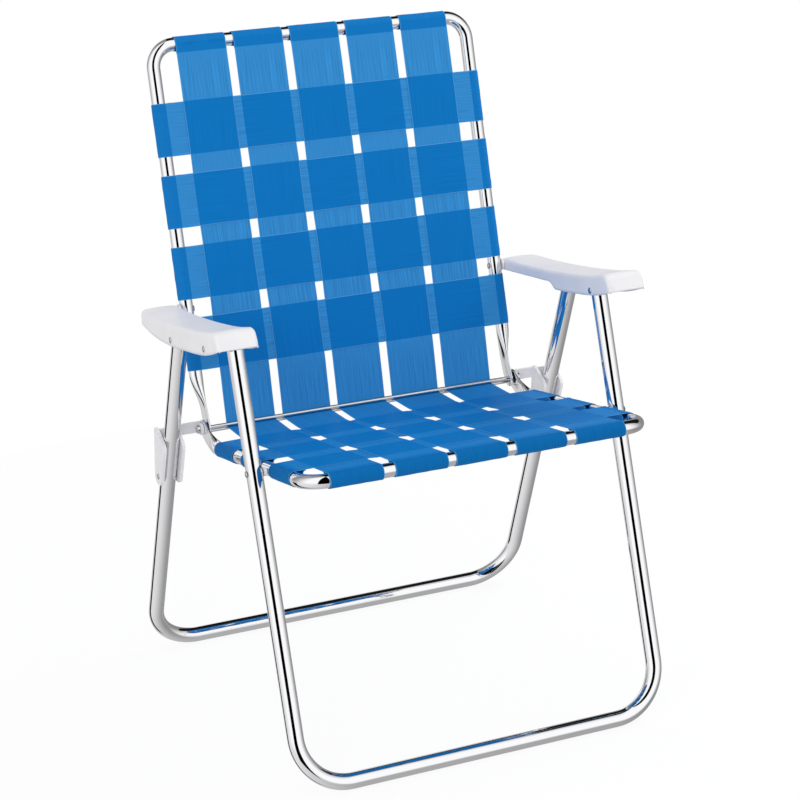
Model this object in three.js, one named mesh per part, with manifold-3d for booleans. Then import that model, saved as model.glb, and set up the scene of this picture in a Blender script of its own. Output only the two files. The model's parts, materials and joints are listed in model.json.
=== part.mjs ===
// Folding lawn chair: two leg hoops, a back hoop and a seat hoop of bent aluminium tube,
// woven with wide webs, joined by moulded armrests, riveted pivots and a pair of fold links.
// Millimetres, +Z up, the sitter faces -Y. X runs across the chair.
import * as THREE from 'three';
import { mergeVertices } from 'three/addons/utils/BufferGeometryUtils.js';
import Module from 'manifold-3d';

const wasm = await Module();
wasm.setup();

// Tubes
const LEG_TUBE_D = 22.2;
const LEG_WALL = 1.2;
const FRAME_TUBE_D = 19;
const FRAME_WALL = 1.1;
const LEG_BEND_R = 70;
const SEAT_BEND_R = 34;
const BEND_RUN = 1;

// Gaps across the chair: the webs set the seat's width, and the seat sets the other hoops
const LEG_SIDE_GAP = 6.3;
const SEAT_SIDE_GAP = 4.6;
const BACK_INSET = 2;

// Side view: leans from upright, tilts from level, in degrees
const FRONT_LEAN_DEG = 18.65;
const REAR_LEAN_DEG = 20.8;
const BACK_LEAN_DEG = 15.46;
const SEAT_TILT_DEG = 10.6;
const ARM_DROP_DEG = 6.03;

// Side view: lengths between pivots and to the cross bars
const SEAT_PIVOT_UP = 422;
const ARM_RISE = 168.8;
const ARM_REACH = 269.3;
const REAR_PIVOT_BELOW = 11.5;
const HINGE_BEHIND_LEG = 16.44;
const LINK_DROP = 62.56;
const LEG_TOP_BEYOND = 13;

// Flattened tube ends at the seat hinge
const STRIP_T = 4;
const SEAT_STRIP_HALF = 13;
const BACK_STRIP_HALF = 12;
const SEAT_BLEND = 62;

// Rods, rivets and washers
const HINGE_ROD_D = 6;
const LOWER_ROD_D = 5;
const LOWER_ROD_AWAY = 7.2;
const RIVET_D = 6;
const RIVET_HEAD_D = 9;
const RIVET_HEAD_H = 1.4;
const HINGE_WASHER_D = 16;
const HINGE_WASHER_T = 1.4;
const HINGE_CAP_D = 12;
const HINGE_CAP_T = 4;
const SPACER_D = 12;
const ARM_SPACER_D = 17;
const BOLT_NUT_T = 3;

// Webs
const WEB_WIDTH = 74;
const WEB_T = 1;
const WEAVE_GAP = 0.4;
const WEB_WRAP_DEG = 235;
const HEM_START = 18;
const HEM_END = 30;
const LONG_HEM_END = 38;
const WEB_GAP = 11.4;
const WEB_FLAT = 1;
const BACK_WEB_COUNT = 5;
const BACK_CROSS_COUNT = 4;
const BACK_TOP_CLEAR = 80;
const BACK_CROSS_GAP = 26;
const SEAT_WEB_COUNT = 5;
const SEAT_CROSS_COUNT = 3;
const SEAT_FRONT_CLEAR = 44;
const SEAT_PIVOT_CLEAR = 10;
// Clear bar beside the outermost webs, and clear rail behind the last cross web
const BAR_MARGIN = 1;
const RAIL_MARGIN = 4;

// Armrests
const ARM_WALL = 2.5;
const ARM_CLEAR = 0.4;
const ARM_EDGE_R = 4;
const ARM_REAR_R = 9;
const ARM_FRONT_BEYOND = 47;
const ARM_FRONT_H = 28;
const ARM_FRONT_RAKE = 12;
const ARM_FRONT_CORNER_R = 8;
const ARM_REAR_CORNER_R = 22;
const ARM_TOP_AT_PIVOT = 22;
const ARM_SKIRT_BELOW_FRONT = 8.5;
const ARM_SKIRT_BELOW_REAR = 8.2;
const ARM_INNER_STEP = 8;
const ARM_INNER_RISE = 2;
const ARM_INNER_DIP = 4.7;
const ARM_FRONT_LIFT = 4;
const ARM_REAR_LIFT = 1.5;

// Fold links
const LINK_END_T = 4;
const LINK_FLANGE_T = 3;
const LINK_CLEAR = 0.5;
const LINK_END_R = 11;
const LINK_PLATE_T = 3.5;
const LINK_PLATE_H = 20;
const LINK_PLATE_BACK = 3;
const LINK_FLANGE_FRONT = 17;
const LINK_FLANGE_REAR = 11;

// Fits and facets
const GAP = 0.3;
const TUBE_SIDES = 12;
const BEND_STEPS = 5;
const PIN_SIDES = 10;
const CURVE_STEPS = 3;
const WRAP_STEPS = 10;

// Derived sizes
const rad = THREE.MathUtils.degToRad;
const LEG_R = LEG_TUBE_D / 2;
const FRAME_R = FRAME_TUBE_D / 2;
const HINGE_ROD_R = HINGE_ROD_D / 2;
const LOWER_ROD_R = LOWER_ROD_D / 2;
const RIVET_R = RIVET_D / 2;
const RIVET_HEAD_R = RIVET_HEAD_D / 2;
const FOOT_Z = LEG_R * Math.cos(Math.PI / TUBE_SIDES);
const webPitch = WEB_WIDTH + WEB_GAP;
const seatBarHalf = ((SEAT_WEB_COUNT - 1) * webPitch) / 2;
const backBarHalf = ((BACK_WEB_COUNT - 1) * webPitch) / 2;
const seatHalf = seatBarHalf + WEB_WIDTH / 2 + BAR_MARGIN + SEAT_BEND_R;
const backHalf = seatHalf - BACK_INSET;
const backBendR = SEAT_BEND_R - BACK_INSET;
const frontHalf = seatHalf + FRAME_R + SEAT_SIDE_GAP + LEG_R;
const rearHalf = frontHalf + LEG_TUBE_D + LEG_SIDE_GAP;
const wrapR = FRAME_R + GAP + WEB_T / 2;
const rodWrapR = HINGE_ROD_R + GAP + WEB_T / 2;
const weaveOffset = (WEB_T + WEAVE_GAP) / 2;

// Across the hinge, from the middle of the chair outwards
const seatStripIn = seatHalf - STRIP_T / 2;
const seatStripOut = seatHalf + STRIP_T / 2;
const backStripOut = seatStripIn - HINGE_WASHER_T - 2 * GAP;
const backStripMid = backStripOut - STRIP_T / 2;
const linkEndIn = seatStripOut + GAP;
const linkEndOut = linkEndIn + LINK_END_T;
const capIn = linkEndOut + GAP;
const capOut = capIn + HINGE_CAP_T;

// Across the armrest and the fold link
const armIn = frontHalf - LEG_R - ARM_CLEAR - ARM_WALL;
const armOut = rearHalf + LEG_R + ARM_CLEAR + ARM_WALL;
const linkInnerOut = rearHalf - LEG_R - LINK_CLEAR;
const linkInnerIn = linkInnerOut - LINK_FLANGE_T;
const linkOuterIn = rearHalf + LEG_R + LINK_CLEAR;
const linkOuterOut = linkOuterIn + LINK_FLANGE_T;

// Points of the side view, as (y, z)
const side = (y, z) => new THREE.Vector2(y, z);
const step = (from, direction, length) => from.clone().addScaledVector(direction, length);
const leaning = (degrees) => side(Math.sin(rad(degrees)), Math.cos(rad(degrees)));
const turned = (direction) => side(-direction.y, direction.x);

const frontUp = leaning(FRONT_LEAN_DEG);
const rearUp = leaning(-REAR_LEAN_DEG);
const backUp = leaning(BACK_LEAN_DEG);
const backAhead = turned(backUp);
const seatUp = leaning(SEAT_TILT_DEG);
const seatAhead = turned(seatUp);
const armUp = leaning(ARM_DROP_DEG);
const armBack = turned(armUp).negate();

const frontFoot = side(0, FOOT_Z);
const seatPivot = step(frontFoot, frontUp, SEAT_PIVOT_UP);
const frontArmPivot = step(seatPivot, frontUp, ARM_RISE);
const backPivot = step(frontArmPivot, armBack, ARM_REACH);
const hinge = step(seatPivot, armBack, ARM_REACH);

// The rear leg stands just ahead of the hinge and crosses the armrest below its line of pivots
const besideHinge = step(hinge, turned(rearUp), HINGE_BEHIND_LEG);
const armAbove = besideHinge.clone().sub(frontArmPivot).dot(armUp);
const rearArmPivot = step(besideHinge, rearUp, (-REAR_PIVOT_BELOW - armAbove) / rearUp.dot(armUp));
const rearPivotAlong = rearArmPivot.clone().sub(frontArmPivot).dot(armBack);
const rearLegLength = (rearArmPivot.y - FOOT_Z) / rearUp.y;
const rearFoot = step(rearArmPivot, rearUp, -rearLegLength);
const linkPivot = step(rearArmPivot, rearUp, (hinge.y - LINK_DROP - rearArmPivot.y) / rearUp.y);

// The back's pivot lies midway between its two lowest cross webs, the seat's just behind its first
const backCrossPitch = WEB_WIDTH + BACK_CROSS_GAP;
const backCrossFirst = BACK_TOP_CLEAR + WEB_WIDTH / 2;
const backCrossLast = backCrossFirst + (BACK_CROSS_COUNT - 1) * backCrossPitch;
const backTop = step(backPivot, backUp, backCrossLast - backCrossPitch / 2);
const seatCrossFirst = SEAT_FRONT_CLEAR + WEB_WIDTH / 2;
const seatFrontBar = step(seatPivot, seatAhead, SEAT_FRONT_CLEAR + WEB_WIDTH + SEAT_PIVOT_CLEAR);

// Hinge as seen from the seat hoop and from the back hoop: distance from the cross bar, height
const fromSeat = hinge.clone().sub(seatFrontBar);
const hingeOnSeat = { s: -fromSeat.dot(seatAhead), n: fromSeat.dot(seatUp) };
const fromBack = hinge.clone().sub(backTop);
const hingeOnBack = { s: -fromBack.dot(backUp), n: fromBack.dot(backAhead) };
const backBlend = hingeOnBack.s - backCrossLast - WEB_WIDTH / 2 - RAIL_MARGIN;
const seatCrossLast = hingeOnSeat.s - SEAT_BLEND - RAIL_MARGIN - WEB_WIDTH / 2;

// Closed solids from geometry, and back
function solidOf(geometry) {
  const bare = geometry.clone();
  bare.deleteAttribute('normal');
  bare.deleteAttribute('uv');
  const merged = mergeVertices(bare, 1e-5);
  const index = [];
  const source = merged.index.array;
  for (let i = 0; i < source.length; i += 3) {
    const [a, b, c] = [source[i], source[i + 1], source[i + 2]];
    if (a !== b && b !== c && c !== a) index.push(a, b, c);
  }
  const vertProperties = new Float32Array(merged.attributes.position.array);
  const triVerts = new Uint32Array(index);
  return new wasm.Manifold(new wasm.Mesh({ numProp: 3, vertProperties, triVerts }));
}

function geometryOf(solid) {
  const mesh = solid.getMesh();
  const geometry = new THREE.BufferGeometry();
  geometry.setAttribute('position', new THREE.BufferAttribute(mesh.vertProperties, 3));
  geometry.setIndex(new THREE.BufferAttribute(mesh.triVerts, 1));
  return geometry;
}

function mirrored(geometry) {
  const flat = geometry.index ? geometry.toNonIndexed() : geometry.clone();
  const source = flat.attributes.position;
  const copy = new Float32Array(source.count * 3);
  for (let i = 0; i < source.count; i += 3) {
    [i, i + 2, i + 1].forEach((from, k) => {
      copy.set([-source.getX(from), source.getY(from), source.getZ(from)], (i + k) * 3);
    });
  }
  const geometryCopy = new THREE.BufferGeometry();
  geometryCopy.setAttribute('position', new THREE.BufferAttribute(copy, 3));
  return geometryCopy;
}

// A skin over rings of equal point count, closed by a fan at each end
function skinned(rings) {
  const count = rings[0].length;
  const index = [];
  for (let r = 0; r + 1 < rings.length; r += 1) {
    for (let k = 0; k < count; k += 1) {
      const a = r * count + k;
      const b = r * count + ((k + 1) % count);
      index.push(a, b, a + count, b, b + count, a + count);
    }
  }
  const last = (rings.length - 1) * count;
  for (let k = 1; k + 1 < count; k += 1) {
    index.push(0, k + 1, k, last, last + k, last + k + 1);
  }
  const geometry = new THREE.BufferGeometry();
  const points = rings.flat().flatMap((p) => [p.x, p.y, p.z]);
  geometry.setAttribute('position', new THREE.BufferAttribute(new Float32Array(points), 3));
  geometry.setIndex(index);
  return geometry;
}

// A hoop of tube: a cross bar, two bends and two sides. Each side station gives the distance s from
// the cross bar, the height n off the hoop's plane, an inset across the chair and the section.
const ROUND = 1;
const SQUARED = 0.55;

function hoop({ centre, away, up, half, bend, radius, stations, phase = 0 }) {
  const across = new THREE.Vector3(1, 0, 0);
  const awayDir = new THREE.Vector3(0, away.x, away.y);
  const upDir = new THREE.Vector3(0, up.x, up.y);
  const place = (x, s, n) => new THREE.Vector3(0, centre.x, centre.y)
    .addScaledVector(across, x).addScaledVector(awayDir, s).addScaledVector(upDir, n);
  const ring = (middle, outward, raised, section) => {
    const { thick = radius, wide = radius, square = ROUND } = section;
    return Array.from({ length: TUBE_SIDES }, (_, k) => {
      const angle = rad(phase) + ((k + 0.5) / TUBE_SIDES) * Math.PI * 2;
      const shaped = (t) => Math.sign(t) * Math.abs(t) ** square;
      return middle.clone().addScaledVector(outward, thick * shaped(Math.cos(angle)))
        .addScaledVector(raised, wide * shaped(Math.sin(angle)));
    });
  };
  const sideRings = (sign) => stations.map((at, i) => {
    const before = stations[Math.max(i - 1, 0)];
    const after = stations[Math.min(i + 1, stations.length - 1)];
    const run = new THREE.Vector2(after.s - before.s, (after.n ?? 0) - (before.n ?? 0)).normalize();
    const raised = awayDir.clone().multiplyScalar(-run.y).addScaledVector(upDir, run.x);
    const outward = across.clone().multiplyScalar(sign);
    return ring(place(sign * (half - (at.inset ?? 0)), at.s, at.n ?? 0), outward, raised, at);
  });
  const bendRings = (sign) => Array.from({ length: BEND_STEPS + 1 }, (_, i) => {
    const angle = (i / BEND_STEPS) * (Math.PI / 2);
    const outward = across.clone().multiplyScalar(sign * Math.cos(angle))
      .addScaledVector(awayDir, -Math.sin(angle));
    const x = sign * (half - bend + bend * Math.cos(angle));
    return ring(place(x, bend - bend * Math.sin(angle), 0), outward, upDir, {});
  });
  const left = [...sideRings(-1).reverse(), ...bendRings(-1)];
  const right = [...bendRings(1).reverse(), ...sideRings(1)];
  return solidOf(outwards(skinned([...left, ...right])));
}

// Faces pointing out, whichever way the rings ran
function outwards(geometry) {
  const p = geometry.attributes.position;
  const index = geometry.index.array;
  const corner = (i) => new THREE.Vector3().fromBufferAttribute(p, index[i]);
  let volume = 0;
  for (let i = 0; i < index.length; i += 3) {
    volume += corner(i).dot(corner(i + 1).cross(corner(i + 2)));
  }
  if (volume < 0) {
    geometry.setIndex(Array.from(index).reverse());
  }
  return geometry;
}

// A round solid of revolution about a line across the chair: profile of [x, radius]
function turnedAcross(profile, at, sides = PIN_SIDES) {
  const points = profile.map(([x, r]) => new THREE.Vector2(r, x));
  const geometry = new THREE.LatheGeometry(points, sides);
  geometry.rotateZ(-Math.PI / 2);
  geometry.translate(0, at.x, at.y);
  return geometry;
}

function pinAcross(x0, x1, radius, at) {
  const [low, high] = [Math.min(x0, x1), Math.max(x0, x1)];
  return turnedAcross([[low, 0], [low, radius], [high, radius], [high, 0]], at);
}

function ringAcross(x0, x1, inner, outer, at) {
  const profile = [[x0, inner], [x0, outer], [x1, outer], [x1, inner], [x0, inner]];
  return turnedAcross(profile, at);
}

// A rivet with a low domed head on one or both ends
function rivetAcross(x0, x1, at, heads = [true, true]) {
  const profile = [];
  if (heads[0]) {
    profile.push([x0 - RIVET_HEAD_H, 0], [x0 - RIVET_HEAD_H * 0.7, RIVET_HEAD_R * 0.7], [x0, RIVET_HEAD_R]);
  } else {
    profile.push([x0, 0]);
  }
  profile.push([x0, RIVET_R], [x1, RIVET_R]);
  if (heads[1]) {
    profile.push([x1, RIVET_HEAD_R], [x1 + RIVET_HEAD_H * 0.7, RIVET_HEAD_R * 0.7], [x1 + RIVET_HEAD_H, 0]);
  } else {
    profile.push([x1, 0]);
  }
  return turnedAcross(profile, at);
}

function drilled(solid, holes) {
  return holes.reduce((rest, [x0, x1, radius, at]) => rest.subtract(solidOf(pinAcross(x0, x1, radius, at))), solid);
}

const bothSides = (x0, x1, radius, at) => [[x0, x1, radius, at], [-x1, -x0, radius, at]];
const drillR = RIVET_R + GAP;

// Leg hoops: open at the top, standing on the flat of the cross bar
function legHoop(foot, up, half, length, lean, pivots) {
  const shape = { centre: foot, away: up, up: turned(up), half, bend: LEG_BEND_R };
  const top = length + LEG_TOP_BEYOND;
  const sides = { stations: [{ s: LEG_BEND_R + BEND_RUN }, { s: top }], phase: lean };
  const bore = { stations: [{ s: LEG_BEND_R + BEND_RUN }, { s: top + LEG_WALL }], phase: lean };
  const outer = hoop({ ...shape, ...sides, radius: LEG_R });
  const inner = hoop({ ...shape, ...bore, radius: LEG_R - LEG_WALL });
  const reach = LEG_R + LEG_WALL;
  const holes = pivots.flatMap((at) => bothSides(half - reach, half + reach, drillR, at));
  return geometryOf(drilled(outer.subtract(inner), holes));
}

const frontLegLength = SEAT_PIVOT_UP + ARM_RISE;
const frontLegs = legHoop(frontFoot, frontUp, frontHalf, frontLegLength, -FRONT_LEAN_DEG, [seatPivot, frontArmPivot]);
const rearLegs = legHoop(rearFoot, rearUp, rearHalf, rearLegLength, REAR_LEAN_DEG, [rearArmPivot]);

// Side stations of a hoop whose ends are flattened and led to the hinge
function flattenedEnd(straight, blend, at, stripHalf, inset) {
  const start = { s: at.s - blend, n: 0 };
  const lead = { s: at.s - blend * 0.4, n: 0 };
  const curve = new THREE.QuadraticBezierCurve(side(start.s, start.n), side(lead.s, lead.n), side(at.s, at.n));
  const stations = [{ s: straight }];
  const flatten = (t) => THREE.MathUtils.smoothstep(t, 0, 0.6);
  for (const t of [0, 0.15, 0.3, 0.45, 0.6, 0.8, 1]) {
    const p = curve.getPoint(t);
    const f = flatten(t);
    stations.push({
      s: p.x,
      n: p.y,
      inset: inset * f,
      thick: THREE.MathUtils.lerp(FRAME_R, STRIP_T / 2, f),
      wide: THREE.MathUtils.lerp(FRAME_R, stripHalf, f),
      square: THREE.MathUtils.lerp(ROUND, SQUARED, f),
    });
  }
  const out = curve.getTangent(1);
  for (const share of [0.5, 0.8, 0.96]) {
    stations.push({
      s: at.s + out.x * stripHalf * share,
      n: at.n + out.y * stripHalf * share,
      inset,
      thick: STRIP_T / 2,
      wide: stripHalf * Math.sqrt(1 - share * share),
      square: SQUARED,
    });
  }
  return stations;
}

function tubeFrame({ centre, away, up, half, bend, blend, at, stripHalf, inset }, holes) {
  const shape = { centre, away, up, half, bend };
  const straight = bend + BEND_RUN;
  const outer = hoop({ ...shape, radius: FRAME_R, stations: flattenedEnd(straight, blend, at, stripHalf, inset) });
  const boreEnd = at.s - blend;
  const bore = hoop({ ...shape, radius: FRAME_R - FRAME_WALL, stations: [{ s: straight }, { s: boreEnd }] });
  return geometryOf(drilled(outer.subtract(bore), holes));
}

// The lower rod lies behind the middle of the long webs' turn round the hinge rod
const meetAngle = (90 - BACK_LEAN_DEG + SEAT_TILT_DEG) / 2;
const lowerRodAt = step(
  step(hinge, backAhead, -LOWER_ROD_AWAY * Math.cos(rad(meetAngle))),
  backUp,
  -LOWER_ROD_AWAY * Math.sin(rad(meetAngle)),
);
const hingeDrillR = HINGE_ROD_R + GAP;
const backFrame = tubeFrame({
  centre: backTop,
  away: backUp.clone().negate(),
  up: backAhead,
  half: backHalf,
  bend: backBendR,
  blend: backBlend,
  at: hingeOnBack,
  stripHalf: BACK_STRIP_HALF,
  inset: backHalf - backStripMid,
}, [
  ...bothSides(backHalf - FRAME_TUBE_D, backHalf + FRAME_TUBE_D, drillR, backPivot),
  ...bothSides(backStripMid - STRIP_T, backStripMid + STRIP_T, hingeDrillR, hinge),
  ...bothSides(backStripMid - STRIP_T, backStripMid + STRIP_T, LOWER_ROD_R + GAP, lowerRodAt),
]);
const seatFrame = tubeFrame({
  centre: seatFrontBar,
  away: seatAhead.clone().negate(),
  up: seatUp,
  half: seatHalf,
  bend: SEAT_BEND_R,
  blend: SEAT_BLEND,
  at: hingeOnSeat,
  stripHalf: SEAT_STRIP_HALF,
  inset: 0,
}, [
  ...bothSides(seatHalf - FRAME_TUBE_D, seatHalf + FRAME_TUBE_D, drillR, seatPivot),
  ...bothSides(seatHalf - STRIP_T, seatHalf + STRIP_T, hingeDrillR, hinge),
]);

// Rods
const hingeRod = pinAcross(-capOut, capOut, HINGE_ROD_R, hinge);
const lowerRod = pinAcross(-backStripOut, backStripOut, LOWER_ROD_R, lowerRodAt);

// Webs: a ribbon's edge-on outline, drawn in (along, height), pushed out by the web's width
function ribbon(path, basis, origin, middle) {
  const normals = path.map((p, i) => {
    const run = path[Math.min(i + 1, path.length - 1)].clone().sub(path[Math.max(i - 1, 0)]).normalize();
    return turned(run);
  });
  const edge = (sign) => path.map((p, i) => step(p, normals[i], (sign * WEB_T) / 2));
  const shape = new THREE.Shape([...edge(1), ...edge(-1).reverse()]);
  const geometry = new THREE.ExtrudeGeometry(shape, { depth: WEB_WIDTH, bevelEnabled: false });
  geometry.translate(0, 0, middle - WEB_WIDTH / 2);
  geometry.applyMatrix4(new THREE.Matrix4().makeBasis(...basis).setPosition(origin));
  return geometry;
}

// The wrap round a tube at the origin, from the hem under it to the top of the tube at (0, wrapR).
// The web then runs on towards +along.
function wrapped(hemEnd) {
  const hemHeight = wrapR - WEB_T - WEAVE_GAP;
  const points = [side(hemEnd, hemHeight), side(HEM_START, hemHeight)];
  for (let k = WRAP_STEPS; k >= 0; k -= 1) {
    const angle = rad((WEB_WRAP_DEG * k) / WRAP_STEPS);
    const r = k === 0 ? wrapR : wrapR / Math.cos(rad(WEB_WRAP_DEG / WRAP_STEPS / 2));
    points.push(side(-r * Math.sin(angle), r * Math.cos(angle)));
  }
  return points;
}

// Over and under: flat where it crosses another web, sloping in the gaps between
function woven(centres, overs) {
  const flat = WEB_WIDTH / 2 + WEB_FLAT;
  return centres.flatMap((c, k) => {
    const height = wrapR + (overs[k] ? weaveOffset : -weaveOffset);
    return [side(c - flat, height), side(c + flat, height)];
  });
}

const range = (count) => Array.from({ length: count }, (_, k) => k);
const spread = (count, first, last) => range(count).map((k) => first + (k * (last - first)) / (count - 1));
const backLongAt = spread(BACK_WEB_COUNT, -backBarHalf, backBarHalf);
const seatLongAt = spread(SEAT_WEB_COUNT, -seatBarHalf, seatBarHalf);
const backCrossAt = spread(BACK_CROSS_COUNT, backCrossFirst, backCrossLast);
const seatCrossAt = spread(SEAT_CROSS_COUNT, seatCrossFirst, seatCrossLast);
const backLongOver = (i, j) => (i + j) % 2 === 0;
const seatLongOver = (i, j) => (i + SEAT_CROSS_COUNT - 1 - j) % 2 === 1;

const lift = (v) => new THREE.Vector3(0, v.x, v.y);
const acrossDir = new THREE.Vector3(1, 0, 0);
const backDown = backUp.clone().negate();
const seatRear = seatAhead.clone().negate();

// Where a long web turns round the hinge rod: the arc from its first to its last angle
const rodGapAngle = THREE.MathUtils.radToDeg(WEAVE_GAP / rodWrapR) / 2;
function roundRod(at, last) {
  return range(4).map((k) => {
    const angle = rad((last * k) / 3);
    return side(at.s + rodWrapR * Math.sin(angle), at.n - rodWrapR * Math.cos(angle));
  });
}

function longWeb(hingeAt, crossAt, overs, away, up, centre, x, rodAngle) {
  const path = [
    ...wrapped(LONG_HEM_END),
    ...woven(crossAt, overs),
    ...roundRod(hingeAt, rodAngle),
  ];
  const basis = [lift(away), lift(up), acrossDir];
  if (new THREE.Matrix4().makeBasis(...basis).determinant() < 0) basis[2] = acrossDir.clone().negate();
  return ribbon(path, basis, lift(centre), basis[2].x * x);
}

function crossWeb(half, longAt, overs, away, up, centre, s) {
  const fromLeft = wrapped(HEM_END).map((p) => side(p.x - half, p.y));
  const fromRight = wrapped(HEM_END).map((p) => side(half - p.x, p.y)).reverse();
  const path = [...fromLeft, ...woven(longAt, overs), ...fromRight];
  const basis = [acrossDir, lift(up), lift(away)];
  let middle = s;
  if (new THREE.Matrix4().makeBasis(...basis).determinant() < 0) {
    basis[2].negate();
    middle = -s;
  }
  return ribbon(path, basis, lift(centre), middle);
}

const backWebs = backLongAt.map((x, i) => longWeb(
  hingeOnBack, backCrossAt, backCrossAt.map((_, j) => backLongOver(i, j)),
  backDown, backAhead, backTop, x, meetAngle - rodGapAngle,
));
const backCrossWebs = backCrossAt.map((s, j) => crossWeb(
  backHalf, backLongAt, range(BACK_WEB_COUNT).map((i) => !backLongOver(i, j)),
  backDown, backAhead, backTop, s,
));
const seatWebs = seatLongAt.map((x, i) => longWeb(
  hingeOnSeat, seatCrossAt, seatCrossAt.map((_, j) => seatLongOver(i, j)),
  seatRear, seatUp, seatFrontBar, x, meetAngle - rodGapAngle,
));
const seatCrossWebs = seatCrossAt.map((s, j) => crossWeb(
  seatHalf, seatLongAt, range(SEAT_WEB_COUNT).map((i) => !seatLongOver(i, j)),
  seatRear, seatUp, seatFrontBar, s,
));

// A smooth line through points, without loops however they are spaced
function smoothThrough(points) {
  const curve = new THREE.CatmullRomCurve3(points.map((p) => new THREE.Vector3(p.x, p.y, 0)), false, 'centripetal');
  return curve.getPoints((points.length - 1) * CURVE_STEPS).map((p) => side(p.x, p.y));
}

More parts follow.
